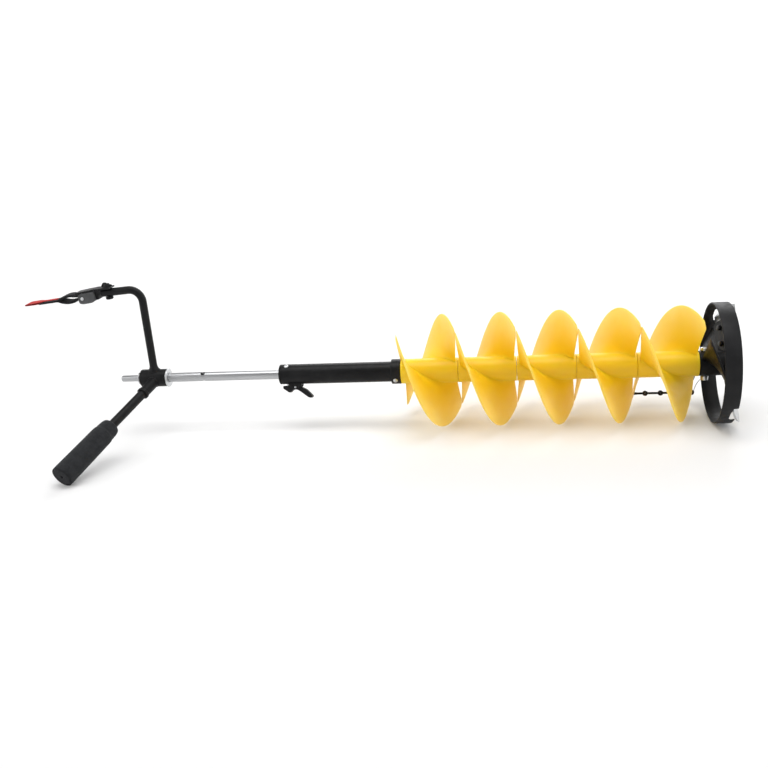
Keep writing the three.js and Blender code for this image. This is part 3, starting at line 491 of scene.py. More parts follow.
def prism(name, outline, width, basis, bevel=0.0):
    """Extrudes an (x, z) outline in millimetres by a width along y of a placed basis."""
    rings = [[basis @ (Vector((x, side * width / 2, z)) * MM) for x, z in outline] for side in (-1, 1)]
    piece = loft(name, rings)
    if bevel:
        bevelled(piece, bevel)
    return piece


def shaft_ring(name, left, right, outer, inner, segments=96, fillet=0.6):
    """A round sleeve on the shaft's axis, between two stations along it."""
    profile = [(left, inner), (left, outer), (right, outer), (right, inner)]
    return lathe(name, profile, place(0), SHAFT, segments, closed=True, fillet=fillet)


def bevelled(piece, width, segments=3, angle=35):
    modifier = piece.modifiers.new("edges", "BEVEL")
    modifier.width = width * MM
    modifier.segments = segments
    modifier.limit_method = "ANGLE"
    modifier.angle_limit = math.radians(angle)
    modifier.harden_normals = False
    return piece


def settled(piece):
    """Turns the piece's modifiers into its mesh."""
    graph = bpy.context.evaluated_depsgraph_get()
    mesh = bpy.data.meshes.new_from_object(piece.evaluated_get(graph), depsgraph=graph)
    piece.modifiers.clear()
    piece.data = mesh
    return piece


def carved(piece, *tools):
    """Cuts the tools out of the piece and removes them."""
    for tool in tools:
        modifier = piece.modifiers.new("cut", "BOOLEAN")
        modifier.operation = "DIFFERENCE"
        modifier.solver = "EXACT"
        modifier.object = tool
    settled(piece)
    for tool in tools:
        bpy.data.objects.remove(tool)
    smooth(piece.data)
    return piece


def pin(base, axis, start, end, radius, segments=32):
    """A plain round tool for cutting holes."""
    return lathe("tool", [(start, radius), (end, radius)], base, axis, segments)


def sweep(name, points, radius, segments=20, closed=False):
    """A tube along points in metres; radius in millimetres is a number or a function of the step."""
    size = radius if callable(radius) else (lambda step: radius)
    count = len(points)
    rings = []
    side = None
    for i, point in enumerate(points):
        after = points[(i + 1) % count] if closed or i < count - 1 else point
        before = points[i - 1] if closed or i > 0 else point
        tangent = (after - before).normalized()
        if side is None:
            side = tangent.orthogonal().normalized()
        side = (side - tangent * side.dot(tangent)).normalized()
        rings.append(circle(point, side, tangent.cross(side), size(i), segments))
    return loft(name, rings, closed, 40)


def finish_piece(piece, look, body, *nodes):
    """Gives the piece its finish and its body, and hides the CAD nodes that it stands for."""
    piece.data.materials.clear()
    piece.data.materials.append(LOOKS[look])
    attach(piece, body)
    if nodes:
        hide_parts(*nodes)
    return piece


def dress(node, look, bevel=0.0):
    """Keeps a CAD node and gives it its finish, smooth turned faces and broken edges."""
    piece = frame["nodes"][node]
    piece.data.materials.clear()
    piece.data.materials.append(LOOKS[look])
    for face in piece.data.polygons:
        face.use_smooth = True
        face.material_index = 0
    if "custom_normal" in piece.data.attributes:
        piece.data.attributes.remove(piece.data.attributes["custom_normal"])
    weld = piece.modifiers.new("weld", "WELD")
    weld.merge_threshold = 1e-6
    if bevel:
        bevelled(piece, bevel, 2, 40)
    split = piece.modifiers.new("split", "EDGE_SPLIT")
    split.split_angle = math.radians(32)
    return piece


def share_between(value, start, end):
    """How far the value has come from start to end, held between 0 and 1."""
    return min(max((value - start) / (end - start), 0), 1)


def joined(name, *pieces):
    """One mesh object from several that are already in place."""
    shape = bmesh.new()
    for piece in pieces:
        settled(piece)
        shape.from_mesh(piece.data)
        bpy.data.objects.remove(piece)
    mesh = bpy.data.meshes.new(name)
    shape.to_mesh(mesh)
    shape.free()
    smooth(mesh)
    return new_object(name, mesh)


# ---------------------------------------------------------------- screw blades
LEAD = MODULE_LENGTH / math.pi   # how far a flight climbs along the shaft in one radian
FLIGHT_START = 122               # angle of the first flight's leading end
FLIGHT_CORNER = 8
FLIGHT_ROOT_THICK = 4.8
FLIGHT_EDGE_THICK = 3
ROOT_FILLET_TOP = 26.5           # radius where the moulded fillet at a flight's root ends
ROOT_FILLET_REACH = 5
ROOT_FILLET_THICK = 3.2
SLIT_AT_CORE = 7.5               # angle cut from each end of a flight at the core, which opens a slit
SLIT_TOP_RADIUS = 90.5
SEAM_TRIM = 0.27                 # angle cut from each end of a flight at every radius
SEAM_GAP = 0.3                   # how far each module's core stops short of the seam
CORE_BORE = 14
# Radii of the mesh's rows, close together where the root's fillet and the outer corner curve.
ROOT_ROWS = (CORE_RADIUS - 1.2, 22.6, 23.6, 25, 27.5, 32, 42, 56, 70, 82)
CORNER_ROWS = (1, 0.75, 0.5, 0.32, 0.2)
BLADE_STEPS = 64


def screw_blade(name, start, end, start_x, radii, thickness, trim, steps, edge=1.3):
    """A helical blade with a round outer edge; trim(radius) cuts its ends back in degrees.

    Its two faces are swung apart round the shaft, so that its ends are square to the shaft.
    """
    outer = radii[-1]
    sides = [(radius, 1.0) for radius in radii[:-1]] + [(outer - edge, 1.0)]
    arcs = 5
    for k in range(1, arcs + 1):
        turn = 0.5 * math.pi * k / arcs
        sides.append((outer - edge + edge * math.sin(turn), max(math.cos(turn), 0.02)))
    count = len(sides)
    vertices = []
    for i in range(steps + 1):
        row = []
        for radius, share in sides:
            first, last = start + trim(radius), end - trim(radius)
            angle = first + (last - first) * i / steps
            x = start_x + LEAD * math.radians(angle - start)
            half = 0.5 * thickness(radius) * share * math.hypot(1, LEAD / radius)
            swing = math.degrees(half / LEAD)
            row.append((around(x, radius, angle + swing), around(x, radius, angle - swing)))
        vertices += [left for left, right in row] + [right for left, right in row]
    faces = []
    for i in range(steps):
        a, b = 2 * count * i, 2 * count * (i + 1)
        for j in range(count - 1):
            faces.append((a + j, b + j, b + j + 1, a + j + 1))
            faces.append((a + count + j, a + count + j + 1, b + count + j + 1, b + count + j))
        faces.append((a, a + count, b + count, b))
        faces.append((a + count - 1, b + count - 1, b + 2 * count - 1, a + 2 * count - 1))
    for a in (0, 2 * count * steps):
        for j in range(count - 1):
            faces.append((a + j, a + j + 1, a + count + j + 1, a + count + j))
    return solid(name, vertices, faces, 40)


def flight_thickness(radius):
    """Tapers from root to edge, with a moulded fillet where the blade leaves the core."""
    share = share_between(radius, CORE_RADIUS, FLIGHT_RADIUS)
    fillet = max(0, (ROOT_FILLET_TOP - radius) / ROOT_FILLET_REACH) ** 2
    return FLIGHT_ROOT_THICK + (FLIGHT_EDGE_THICK - FLIGHT_ROOT_THICK) * share + ROOT_FILLET_THICK * fillet


def flight_trim(radius):
    """Degrees cut from a blade's ends: a long slit from the core up, and a round outer corner."""
    share = share_between(radius, SLIT_TOP_RADIUS, CORE_RADIUS)
    rise = max(0, (radius - FLIGHT_RADIUS + FLIGHT_CORNER) / FLIGHT_CORNER)
    inset = FLIGHT_CORNER * (1 - math.sqrt(max(0, 1 - rise * rise)))
    return SEAM_TRIM + SLIT_AT_CORE * share + math.degrees(inset / radius)


def make_flights():
    corner = [FLIGHT_RADIUS - FLIGHT_CORNER * share for share in CORNER_ROWS]
    radii = (*ROOT_ROWS, *corner, FLIGHT_RADIUS)
    for number in range(MODULES):
        seam = number * MODULE_LENGTH
        left, right = seam + SEAM_GAP, (number + 1) * MODULE_LENGTH - SEAM_GAP
        core = shaft_ring("core", left, right, CORE_RADIUS, CORE_BORE, fillet=0.5)
        blades = []
        for turn in (0, 180):
            start = FLIGHT_START + 180 * number + turn
            blades.append(screw_blade(
                "blade", start, start + 180, seam, radii, flight_thickness, flight_trim, BLADE_STEPS))
        module = joined(f"flights_{number + 1}", core, *blades)
        finish_piece(module, "yellow_nylon", "auger", f"flight_module_{number + 1}")


make_flights()


# ---------------------------------------------------------------- tube, collar and rod
TUBE_RADIUS = 17.9
TUBE_BORE = 13.95
COLLAR_RADIUS = 21.95
COLLAR_BORE = 18.2
ROD_RADIUS = 8.4
ROD_BORE = 6.2
SHANK_RADIUS = 5.9
SHANK_TIP_RADIUS = 4.4
DETENT_X = -205
ROD_HOLE_X = -362.5
ROD_HOLE = 4.2
SEEN_HOLE_ANGLE = 119
COLLAR_SCREW_X = -9
COLLAR_SCREW_ANGLES = (206, 26)
TUBE_SCREW_X = -205.5
TUBE_SCREW_ANGLE = 110.5
RECESS_WIDTH = 0.8
RECESS_TURN = 0.35               # how far the cross recess is turned, in radians
LEVER_SLOT_WIDTH = 6.8
LEVER_OUT = radial(LEVER_ANGLE)
LEVER_TANGENT = radial(LEVER_ANGLE + 90)


def pan_screw(name, x, angle, seat):
    """A pan-head screw that stands out of the shaft at an angle, with a cross recess."""
    out = radial(angle)
    profile = [(seat - 9, 2), (seat, 2), (seat, 4), (seat + 0.9, 4.0), (seat + 2.1, 3.1), (seat + 2.6, 1.2)]
    head = lathe(name, profile, place(x), out, 48, fillet=0.5)
    across = SHAFT.cross(out).normalized()
    slots = []
    for turn in (RECESS_TURN, RECESS_TURN + math.pi / 2):
        way = SHAFT * math.cos(turn) + across * math.sin(turn)
        basis = basis_at(place(x) + out * (seat + 2.2) * MM, way, out.cross(way), out)
        slots.append(prism("slot", [(-1.9, -0.9), (1.9, -0.9), (1.9, 2), (-1.9, 2)], RECESS_WIDTH, basis))
    return carved(head, *slots)


def make_tube():
    left, right = span("drive_tube")
    tube = shaft_ring("tube", left, right, TUBE_RADIUS, TUBE_BORE, fillet=0.9)
    slot_basis = basis_at(place(DETENT_X), SHAFT, LEVER_TANGENT, LEVER_OUT)
    outline = rounded([(-8, 9), (5, 9), (5, 24), (-8, 24)], 0.5, True)
    carved(tube, prism("slot", outline, LEVER_SLOT_WIDTH, slot_basis))
    finish_piece(tube, "black_paint", "auger", "drive_tube")
    left, right = span("collar")
    collar = shaft_ring("collar_ring", left, right, COLLAR_RADIUS, COLLAR_BORE, fillet=1.4)
    finish_piece(collar, "black_paint", "auger", "collar")
    dress("guide_bush", "black_plastic", 0.4)
    dress("core_shaft", "bright_steel", 0.3)
    for number, angle in enumerate(COLLAR_SCREW_ANGLES):
        screw = pan_screw(f"collar_bolt_{number + 1}", COLLAR_SCREW_X, angle, COLLAR_RADIUS + 0.1)
        finish_piece(screw, "bright_steel", "auger", f"collar_screw_{number + 1}")
    screw = pan_screw("tube_bolt", TUBE_SCREW_X, TUBE_SCREW_ANGLE, TUBE_RADIUS + 0.1)
    finish_piece(screw, "bright_steel", "auger", "tube_screw")


def make_rod():
    left, right = span("extension_rod")
    rod = shaft_ring("rod", left, right, ROD_RADIUS, ROD_BORE, 80, 0.5)
    holes = [
        pin(place(DETENT_X), LEVER_OUT, 2, 12, ROD_HOLE),
        pin(place(ROD_HOLE_X), LEVER_OUT, 2, 12, ROD_HOLE),
        pin(place(ROD_HOLE_X), radial(SEEN_HOLE_ANGLE), -12, 12, ROD_HOLE),
    ]
    carved(rod, *holes)
    finish_piece(rod, "silver_rod", "rod", "extension_rod")
    left, right = span("drill_shank")
    profile = [(left, SHANK_TIP_RADIUS), (left + 1.9, SHANK_RADIUS), (right, SHANK_RADIUS)]
    shank = lathe("shank", profile, place(0), SHAFT, 64, fillet=0.4)
    finish_piece(shank, "silver_rod", "rod", "drill_shank")
    for node in ("shank_pin", "retaining_clip", "thrust_flange"):
        dress(node, "bright_steel", 0.25)


make_tube()
make_rod()


# ---------------------------------------------------------------- release lever
LEVER_WIDTH = 14


def make_lever():
    """The rocker's side outline runs along the shaft and out from its axis."""
    outline = [
        (-213, 20.6), (-193, 20.6), (-184, 21.2), (-171, 27.5), (-160, 39), (-160.6, 41.8), (-163.5, 43.2),
        (-167.5, 42), (-178.8, 33.5), (-186, 28.6), (-192, 27.2), (-196, 28.6), (-200.5, 33), (-203, 32.5),
        (-213.5, 25.5),
    ]
    basis = basis_at(place(0), SHAFT, LEVER_TANGENT, LEVER_OUT)
    lever = prism("lever", rounded(outline, 3, True, 5), LEVER_WIDTH, basis, 1.1)
    finish_piece(lever, "black_plastic", "lever", "release_lever")
    dress("lever_bracket", "black_paint", 0.5)
    dress("lever_pivot_pin", "bright_steel", 0.3)
    dress("detent_pin", "bright_steel", 0.2)
    dress("lever_spring", "bright_steel")


make_lever()


# ---------------------------------------------------------------- brace handle
HUB_X = -455
HUB_RADIUS = 16.05
HUB_BORE = 11.3
ARM_TOP = place(HUB_X, 0, 168)
ARM_END = place(-528, 0, 163)
ARM_WAY = (ARM_END - ARM_TOP).normalized()
ARM_BEND = 24
ARM_RADIUS = 7
ARM_BORE = 5.3
ARM_FOOT_RADIUS = 9.6
ROUND_PULL = 0.552               # share that makes a cubic curve follow about a quarter circle
SIDE_BASE_X = -450
SIDE_LENGTH = 270
SIDE_RADIUS = 8.2
SOCKET_RADIUS = 9.8
GRIP_START = 139
GRIP_LUMPS = ((60, 0.14), (400, 0.05))
WELD_RADIUS = 16                 # the hub's outside as the welds meet it
WELD_STEPS = 96
WELD_LUMPS = 22


def middle_of(node):
    """Mean of a node's corners, which lies on the axis of a turned node."""
    points = [vertex.co for vertex in frame["nodes"][node].data.vertices]
    return sum(points, Vector()) / len(points)


SIDE_BASE = place(SIDE_BASE_X)
SIDE_WAY = (middle_of("side_rod") - SIDE_BASE).normalized()


def arm_points():
    """The J arm's centre line: up from the hub, round the bend and out to its open end."""
    low, high = place(HUB_X, 0, 12), ARM_TOP - Vector((0, 0, ARM_BEND * MM))
    turn_end = ARM_TOP + ARM_WAY * ARM_BEND * MM
    points = [low.lerp(high, k / 10) for k in range(10)]
    pull_low = high.lerp(ARM_TOP, ROUND_PULL)
    pull_high = turn_end.lerp(ARM_TOP, ROUND_PULL)
    for k in range(17):
        t = k / 16
        first = high.lerp(pull_low, t)
        second = pull_low.lerp(pull_high, t)
        third = pull_high.lerp(turn_end, t)
        points.append(first.lerp(second, t).lerp(second.lerp(third, t), t))
    points += [turn_end.lerp(ARM_END, (k + 1) / 6) for k in range(6)]
    return points


def junction(base, way, tube_radius, hub_radius, count):
    """Loop of points where a tube that leaves the hub's axis meets the hub's round outside."""
    side, up = frame_along(way)
    loop = []
    for k in range(count):
        turn = 2 * math.pi * k / count
        rim = (side * math.cos(turn) + up * math.sin(turn)) * tube_radius
        a = way.y ** 2 + way.z ** 2
        b = 2 * (way.y * rim.y + way.z * rim.z)
        c = rim.y ** 2 + rim.z ** 2 - hub_radius ** 2
        reach = (-b + math.sqrt(max(b * b - 4 * a * c, 0))) / (2 * a)
        loop.append(base + (rim + way * reach) * MM)
    return loop


def weld_bead(name, base, way, tube_radius, size):
    """A lumpy bead of weld round a tube's foot."""
    loop = junction(base, way, tube_radius, WELD_RADIUS, WELD_STEPS)

    def lump(step):
        ripple = abs(math.sin(step * math.pi * WELD_LUMPS / WELD_STEPS))
        return size * (0.8 + 0.22 * ripple + 0.12 * noise.noise(loop[step] * 300))

    return sweep(name, loop, lump, 12, closed=True)


def make_handle():
    left, right = span("hub_bushing")
    hub = shaft_ring("hub", left - 1, right + 1, HUB_RADIUS, HUB_BORE, fillet=1.8)
    finish_piece(hub, "black_paint", "handle", "handle_frame")
    profile = [(12, ARM_FOOT_RADIUS), (17, 9.4), (19.5, 8.2), (23, 7.05)]
    foot = lathe("arm_foot", profile, place(HUB_X), UP, 64, fillet=1.2)
    finish_piece(foot, "black_paint", "handle")
    arm = sweep("riser_arm", arm_points(), ARM_RADIUS, 40)
    carved(arm, pin(ARM_END, ARM_WAY, -25, 5, ARM_BORE))
    finish_piece(arm, "black_paint", "handle")
    tube = [(12, 8.6), (12, SOCKET_RADIUS), (43, SOCKET_RADIUS)]
    profile = tube + [(44, 11), (48.4, 11), (49, 10.4), (49, 8.6)]
    socket = lathe("side_socket", profile, SIDE_BASE, SIDE_WAY, closed=True, fillet=0.7)
    finish_piece(socket, "black_paint", "handle")
    arm_weld = weld_bead("arm_weld", place(HUB_X), UP, ARM_FOOT_RADIUS, 1.5)
    finish_piece(arm_weld, "black_paint", "handle")
    socket_weld = weld_bead("socket_weld", SIDE_BASE, SIDE_WAY, SOCKET_RADIUS, 1.7)
    finish_piece(socket_weld, "black_paint", "handle")
    profile = [(21, SIDE_RADIUS), (SIDE_LENGTH - 9, SIDE_RADIUS)]
    rod = lathe("side_bar", profile, SIDE_BASE, SIDE_WAY)
    finish_piece(rod, "black_paint", "handle", "side_rod")
    dress("hub_bushing", "bronze")


def make_grip():
    """Foam sleeve: a thinner lip at its inner end, a swelling towards the far end and a vent hole."""
    lip = [(0, 8.5), (0, 12.6), (1.5, 15.2), (6, 16.4), (11, 16.8), (16, 17.1), (21, 17.3), (23.5, 18.3)]
    body = [(29, 18.6), (46, 18.8), (76, 19.1), (108, 19.4), (126, 19.5), (131, 19.2)]
    end = [(3, 18.2), (0.8, 16.8), (0, 14.8), (0, 3.2), (1.5, 2.4), (8, 2.4), (8, 8.5)]
    profile = [(GRIP_START + station, radius) for station, radius in lip + body]
    profile += [(SIDE_LENGTH - depth, radius) for depth, radius in end]
    outline = rounded(profile, 1.2, True, 3)
    grip = lathe("foam_sleeve", outline, SIDE_BASE, SIDE_WAY, 128, closed=True)
    fine = grip.modifiers.new("fine", "SUBSURF")
    fine.levels = fine.render_levels = 1
    settled(grip)
    for vertex in grip.data.vertices:
        arm = vertex.co - SIDE_BASE
        out = arm - SIDE_WAY * arm.dot(SIDE_WAY)
        if out.length > 10 * MM:
            swell = sum(noise.noise(vertex.co * waves) * height for waves, height in GRIP_LUMPS)
            vertex.co += out.normalized() * swell * MM
    smooth(grip.data, 50)
    finish_piece(grip, "foam_grip", "handle", "grip")


make_handle()
make_grip()


# ---------------------------------------------------------------- strap bracket on the J arm's end
SWIVEL = joint("strap_swivel")
BOLT = Vector(SWIVEL["pos_m"])
BOLT_WAY = Vector(SWIVEL["axis"]).normalized()
BRACKET = basis_at(BOLT, ARM_WAY, BOLT_WAY.cross(ARM_WAY), BOLT_WAY)
BRACKET_WIDTH = 22
BUCKLE_WIDTH = 32
BUCKLE_MOUTH_WIDTH = 26.5
RIVET = (44, 0, -3.5)
WING_THICK = 3.8
WEB_WIDTH = 25
WEB_THICK = 1.75
LOOP_THICKENING = 2.8            # how much thicker the web is drawn in the middle of its loop
WEB_COLUMNS = 14
WEB_EDGE = 0.86                  # share of the half width where the web starts to thin towards its edge
WEB_EDGE_THINNING = 0.55
WEB_SAG = 2
TAB_WIDTH = WEB_WIDTH - 1
TAB_ROOT_WIDTH = 10
TAB_THICK = 1.0
RIB_GAP = 0.8
LOOP_START = 53
LOOP_LENGTH = 40
LOOP_RISE = 5.0
LOOP_STEPS = 16
RIVET_STEPS = 10
UPPER_WEB = -0.1                 # heights of the web's two layers, in the web's own basis
LOWER_WEB = -1.95
WEB = BRACKET @ Matrix.Translation((0, 0, 0.5 * MM)) @ Matrix.Rotation(math.radians(WEB_SAG), 4, "Y")


def in_bracket(x, y, z):
    return BRACKET @ (Vector((x, y, z)) * MM)


def make_bracket():
    tongue = [(-9, 7.3), (14, 7.3), (14, 8.7), (58, 4.7), (58, 7.1), (22, 10.3), (-9, 9.7)]
    plate = prism("bracket_tongue", rounded(tongue, 0.8, True, 3), BRACKET_WIDTH, BRACKET, 0.6)
    wall = rounded([(15.5, -9), (21, -9), (21, 9.2), (15.5, 9.2)], 1.2, True)
    cheek = prism("bracket_cheek", wall, BRACKET_WIDTH, BRACKET, 0.6)
    finish_piece(plate, "black_plastic", "strap_mount", "strap_bracket")
    finish_piece(cheek, "black_plastic", "strap_mount")
    outline = [
        (21.4, -9.5), (27, -12.5), (44, -13.5), (50.5, -12), (52, -7), (51.6, 3.2), (47.5, 4.2), (21.4, 6.4),
    ]
    buckle = prism("buckle_body", rounded(outline, 2.2, True, 4), BUCKLE_WIDTH, BRACKET)
    opening = [(39.4, -8.6), (56, -8.6), (56, 1.9), (39.4, 1.9)]
    mouth = prism("mouth", opening, BUCKLE_MOUTH_WIDTH, BRACKET)
    carved(buckle, mouth)
    bevelled(buckle, 0.7)
    finish_piece(buckle, "grey_plastic", "strap_mount", "strap_buckle")
    rivet_way = (in_bracket(0, 1, 0) - in_bracket(0, 0, 0)).normalized()
    head = [(-18, 1.2), (-17.7, 2.2), (-17, 2.9), (-16.3, 2.9), (-16.3, 2)]
    profile = head + [(-station, radius) for station, radius in reversed(head)]
    rivet = lathe("rivet", profile, in_bracket(*RIVET), rivet_way, 40, fillet=0.3)
    finish_piece(rivet, "bright_steel", "strap_mount", "buckle_rivet")
    dress("bracket_bolt", "black_paint", 0.4)


def make_knob():
    hub = lathe("knob_hub", [(9.9, 6.4), (12.5, 5.8), (16, 4.4)], BOLT, BOLT_WAY, 48, fillet=0.8)
    outline = [(-9.5, 10.6), (9.5, 10.6), (10.2, 13), (6.5, 18.2), (2.5, 18.2), (-3, 15.4), (-9.5, 13)]
    wings = prism("knob_wings", rounded(outline, 2, True, 4), WING_THICK, BRACKET, 1.1)
    knob = joined("knob", hub, wings)
    finish_piece(knob, "black_plastic", "knob", "wing_knob")


def at(value, x):
    return value(x) if callable(value) else value


def ribbon(name, points, width, thickness, ribs):
    """A ribbed web along (x, z) points in millimetres; width and thickness may depend on x."""
    spine = [Vector(p) for p in points]
    rows = []
    for i, spot in enumerate(spine):
        ahead = spine[min(i + 1, len(spine) - 1)] - spine[max(i - 1, 0)]
        normal = Vector((-ahead.y, ahead.x)).normalized()
        swell = ribs * (1 if i % 2 else -1)
        half = 0.5 * at(width, spot.x)
        deep = 0.5 * at(thickness, spot.x)
        row = []
        for face in (1, -1):
            order = range(WEB_COLUMNS + 1) if face == 1 else range(WEB_COLUMNS, -1, -1)
            for k in order:
                share = 2 * k / WEB_COLUMNS - 1
                edge = 1 - WEB_EDGE_THINNING * max(0, abs(share) - WEB_EDGE) / (1 - WEB_EDGE)
                lift = face * (deep * edge + swell * (0.5 if k % 2 else 1))
                here = spot + normal * lift
                row.append(WEB @ (Vector((here.x, share * half, here.y)) * MM))
        rows.append(row)
    return loft(name, rows, angle=60)


def resampled(points, gap):
    """The polyline with a point every gap millimetres, and its length."""
    corners = [Vector(p) for p in points]
    result = [corners[0]]
    total = 0.0
    left = gap
    for first, second in zip(corners, corners[1:]):
        length = (second - first).length
        total += length
        while length > left:
            first = first.lerp(second, left / length)
            result.append(first)
            length -= left
            left = gap
        left -= length
    result.append(corners[-1])
    return result, total


def lens_side(rise, base):
    """One long side of the flat loop, from the buckle to where the two sides meet."""
    points = []
    for k in range(LOOP_STEPS + 1):
        share = k / LOOP_STEPS
        height = base + rise * math.sin(math.pi * (0.06 + 0.94 * share))
        points.append((LOOP_START + LOOP_LENGTH * share, height))
    return points


def rivet_turn():
    """The web's way round the rivet, from above it to below it, in the web's own basis."""
    centre = WEB.inverted() @ in_bracket(*RIVET) / MM
    reach = 2.2 + WEB_THICK / 2
    points = []
    for k in range(RIVET_STEPS + 1):
        turn = math.pi * (0.5 + k / RIVET_STEPS)
        points.append((centre.x + reach * math.cos(turn), centre.z + reach * math.sin(turn)))
    return points


def web_thickness(x):
    """The web is drawn thicker in its loop, which narrows the gap between the loop's two sides."""
    return WEB_THICK + LOOP_THICKENING * share_between(x, 54, 62) * share_between(x, 97, 87)


def tab_width(x):
    """The red tab is as wide as the web at its end and narrower where it lies on the web."""
    share = share_between(x, 120, 140)
    return TAB_ROOT_WIDTH + (TAB_WIDTH - TAB_ROOT_WIDTH) * share * share * (3 - 2 * share)


def make_strap():
    upper = lens_side(LOOP_RISE, UPPER_WEB) + [(100, UPPER_WEB), (118, UPPER_WEB)]
    lower = lens_side(-LOOP_RISE, LOWER_WEB) + [(100, LOWER_WEB), (118, LOWER_WEB), (131, LOWER_WEB)]
    path = list(reversed(upper)) + rivet_turn() + lower
    points, length = resampled(rounded(path, 3, False, 4), RIB_GAP)
    strap = ribbon("web_strap", points, WEB_WIDTH, web_thickness, 0.07)
    finish_piece(strap, "webbing", "strap_mount", "drill_strap")
    fold = [
        (98, 1.35), (104, 1.4), (120, 1.4), (140, 1.4), (153, 1.3), (157, 0.9),
        (158, 0), (157, -0.9), (153, -1.3), (142, -1.5), (133, -1.6),
    ]
    points, length = resampled(rounded(fold, 2, False, 4), RIB_GAP)
    tab = ribbon("pull_loop", points, tab_width, TAB_THICK, 0.04)
    finish_piece(tab, "red_tab", "strap_mount", "pull_tab")


make_bracket()
make_knob()
make_strap()


# ---------------------------------------------------------------- cutting head and blades
HEAD_START = 503.3
HEAD_END = 556
HEAD_RADIUS = 21
HEAD_BORE = 13.9
HEAD_BORE_START = 498
HEAD_BORE_END = 523.3
HEAD_ARM_SWEEP = 62
HEAD_ARM_LAG = 29                # angle between the end of a head arm and its blade
HEAD_ARM_SET_BACK = 5.4          # how far the arms lie behind the flights' own helix
HEAD_ARM_THICK = 3.2
HEAD_ARM_EDGE = 1.0
HEAD_ARM_STEPS = 28
HEAD_ARM_ROWS = (19, 24, 34, 45, 58, 70, 82, 94)
BLADE_ANGLES = (230, 50)
BLADE_X = 554
BLADE_TILT = 20
BLADE_HALF_THICK = 1.8
SEAT_THICK = 4
SEAT_OUTLINE = ((-27, 14), (10, 14), (10, 80), (-27, 80))
SCREWS_PER_BLADE = 2


def blade_basis(angle):
    """x runs to the blade's edge, y out along the blade, z back from the ice to the blade's seat."""
    out = radial(angle)
    tilt = math.radians(BLADE_TILT)
    edgeway = radial(angle + 90) * math.cos(tilt) + SHAFT * math.sin(tilt)
    return basis_at(place(BLADE_X), edgeway, out, edgeway.cross(out))


def head_arm(name, angle):
    """A screw-shaped arm that carries a flight's helix on to the blade at an angle."""
    end = angle - HEAD_ARM_LAG
    start = end - HEAD_ARM_SWEEP
    flight_start = FLIGHT_START if angle > 180 else FLIGHT_START - 180
    start_x = MODULES * MODULE_LENGTH - HEAD_ARM_SET_BACK + LEAD * math.radians(start - flight_start)
    return screw_blade(
        name, start, end, start_x, HEAD_ARM_ROWS, lambda radius: HEAD_ARM_THICK, lambda radius: 0,
        HEAD_ARM_STEPS, HEAD_ARM_EDGE)


def blade_seat(name, angle):
    """The plate behind a blade that it is screwed to."""
    basis = blade_basis(angle)
    outline = rounded(SEAT_OUTLINE, 5, True, 5)
    faces = (BLADE_HALF_THICK, BLADE_HALF_THICK + SEAT_THICK)
    rings = [[basis @ (Vector((x, y, z)) * MM) for x, y in outline] for z in faces]
    return bevelled(loft(name, rings), 0.5)


def make_head():
    profile = [(HEAD_START, HEAD_RADIUS), (HEAD_END, HEAD_RADIUS)]
    body = lathe("head_socket", profile, place(0), SHAFT, 96, fillet=1.5)
    carved(body, pin(place(0), SHAFT, HEAD_BORE_START, HEAD_BORE_END, HEAD_BORE, 64))
    finish_piece(body, "black_paint", "auger", "cutting_head")
    for number, angle in enumerate(BLADE_ANGLES):
        finish_piece(head_arm(f"head_arm_{number + 1}", angle), "black_paint", "auger")
        finish_piece(blade_seat(f"blade_seat_{number + 1}", angle), "black_paint", "auger")
    dress("head_bolt", "bright_steel", 0.4)
    for number in range(len(BLADE_ANGLES)):
        dress(f"blade_{number + 1}", "blade_steel", 0.25)
    for number in range(SCREWS_PER_BLADE * len(BLADE_ANGLES)):
        dress(f"blade_screw_{number + 1}", "black_steel", 0.3)


make_head()


# ---------------------------------------------------------------- ring guard with its strap
def make_guard():
    dress("blade_guard", "black_plastic", 0.5)
    dress("guard_strap", "rubber", 0.7)
    dress("guard_hook", "bright_steel")


make_guard()


# ---------------------------------------------------------------- studio
# The studio is given in metres.
FLOOR_STEPS = 96
FLOOR_PROFILE = ((0.0, 0.002), (0.0, 3.4), (0.08, 4.3), (0.4, 5.0), (2.6, 5.6))
STUDIO_MIDDLE = Vector(((cad_low.x + cad_high.x) / 2, (cad_low.y + cad_high.y) / 2, 0))
LAMPS = (
    ("overhead", (0.0, -0.1, 2.3), (2.6, 1.2), 42, (0.0, 0.0, 0.0)),
    ("left", (-2.3, -1.2, 1.5), (1.0, 1.6), 20, (0.2, 0.0, 0.1)),
    ("right", (2.4, -1.0, 1.3), (1.0, 1.6), 18, (0.2, 0.0, 0.1)),
    ("behind", (0.3, 2.2, 1.4), (2.4, 1.0), 30, (0.0, 0.0, 0.1)),
)


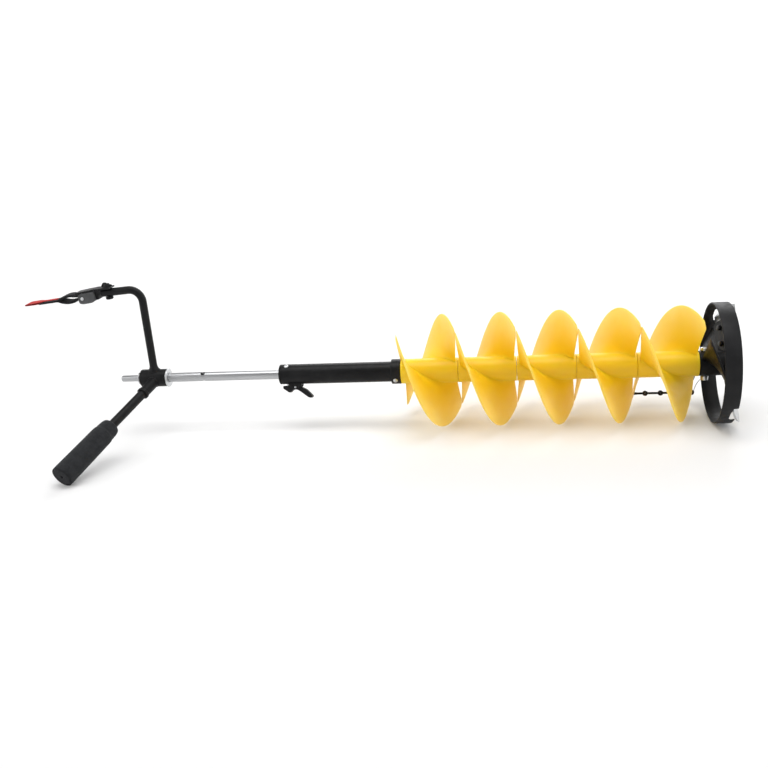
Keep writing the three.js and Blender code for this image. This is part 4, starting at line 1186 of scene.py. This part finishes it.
def floor_mesh():
    """A round floor that curves up into a wall, from (height, radius) points in metres."""
    vertices = []
    for height, radius in rounded(FLOOR_PROFILE, 0.5, False, 8):
        for k in range(FLOOR_STEPS):
            turn = 2 * math.pi * k / FLOOR_STEPS
            spot = Vector((radius * math.cos(turn), radius * math.sin(turn), height))
            vertices.append(STUDIO_MIDDLE + spot)
    faces = []
    for ring in range(0, len(vertices) - FLOOR_STEPS, FLOOR_STEPS):
        above = ring + FLOOR_STEPS
        for k in range(FLOOR_STEPS):
            n = (k + 1) % FLOOR_STEPS
            faces.append((ring + k, ring + n, above + n, above + k))
    faces.append(tuple(range(FLOOR_STEPS)))
    mesh = bpy.data.meshes.new("floor")
    mesh.from_pydata([tuple(v) for v in vertices], [], faces)
    smooth(mesh, 60)
    return mesh


def floor_finish():
    """Pale and matt, with a glow that grows away from the scene's origin and towards the back."""
    finish = Finish("floor", (0.72, 0.72, 0.72), 0.7)
    finish.roughness(finish.ranged(finish.noise(8, 3), 0.3, 0.7, 0.6, 0.8))
    finish.shader.inputs["Specular IOR Level"].default_value = 0.2
    finish.shader.inputs["Emission Color"].default_value = (1, 1, 1, 1)
    where = finish.add("ShaderNodeTexCoord")
    away = finish.add("ShaderNodeVectorMath")
    away.operation = "LENGTH"
    finish.link(where.outputs["Object"], away.inputs[0])
    glow = finish.add("ShaderNodeMath")
    glow.operation = "MULTIPLY"
    parts = finish.add("ShaderNodeSeparateXYZ")
    finish.link(where.outputs["Object"], parts.inputs["Vector"])
    finish.link(finish.ranged(away.outputs["Value"], 1.2, 4.2, 0.08, 0.9), glow.inputs[0])
    finish.link(finish.ranged(parts.outputs["Y"], -3.2, 0.2, 0.25, 1), glow.inputs[1])
    finish.link(glow.outputs["Value"], finish.shader.inputs["Emission Strength"])
    return finish.material


def make_floor():
    floor = new_object("floor", floor_mesh())
    floor.data.materials.append(floor_finish())


def make_lamps():
    for name, spot, size, power, target in LAMPS:
        data = bpy.data.lights.new(name, "AREA")
        data.shape = "RECTANGLE"
        data.size, data.size_y = size
        data.energy = power
        lamp = new_object(name, data)
        lamp.location = STUDIO_MIDDLE + Vector(spot)
        lamp.rotation_mode = "QUATERNION"
        lamp.rotation_quaternion = (Vector(target) - Vector(spot)).to_track_quat("-Z", "Y")


def make_world():
    world = bpy.data.worlds.new("studio")
    bpy.context.scene.world = world
    world.use_nodes = True
    background = world.node_tree.nodes["Background"]
    background.inputs["Color"].default_value = (1, 1, 1, 1)
    background.inputs["Strength"].default_value = 0.28
    bpy.context.scene.view_settings.view_transform = "Standard"


make_floor()
make_lamps()
make_world()
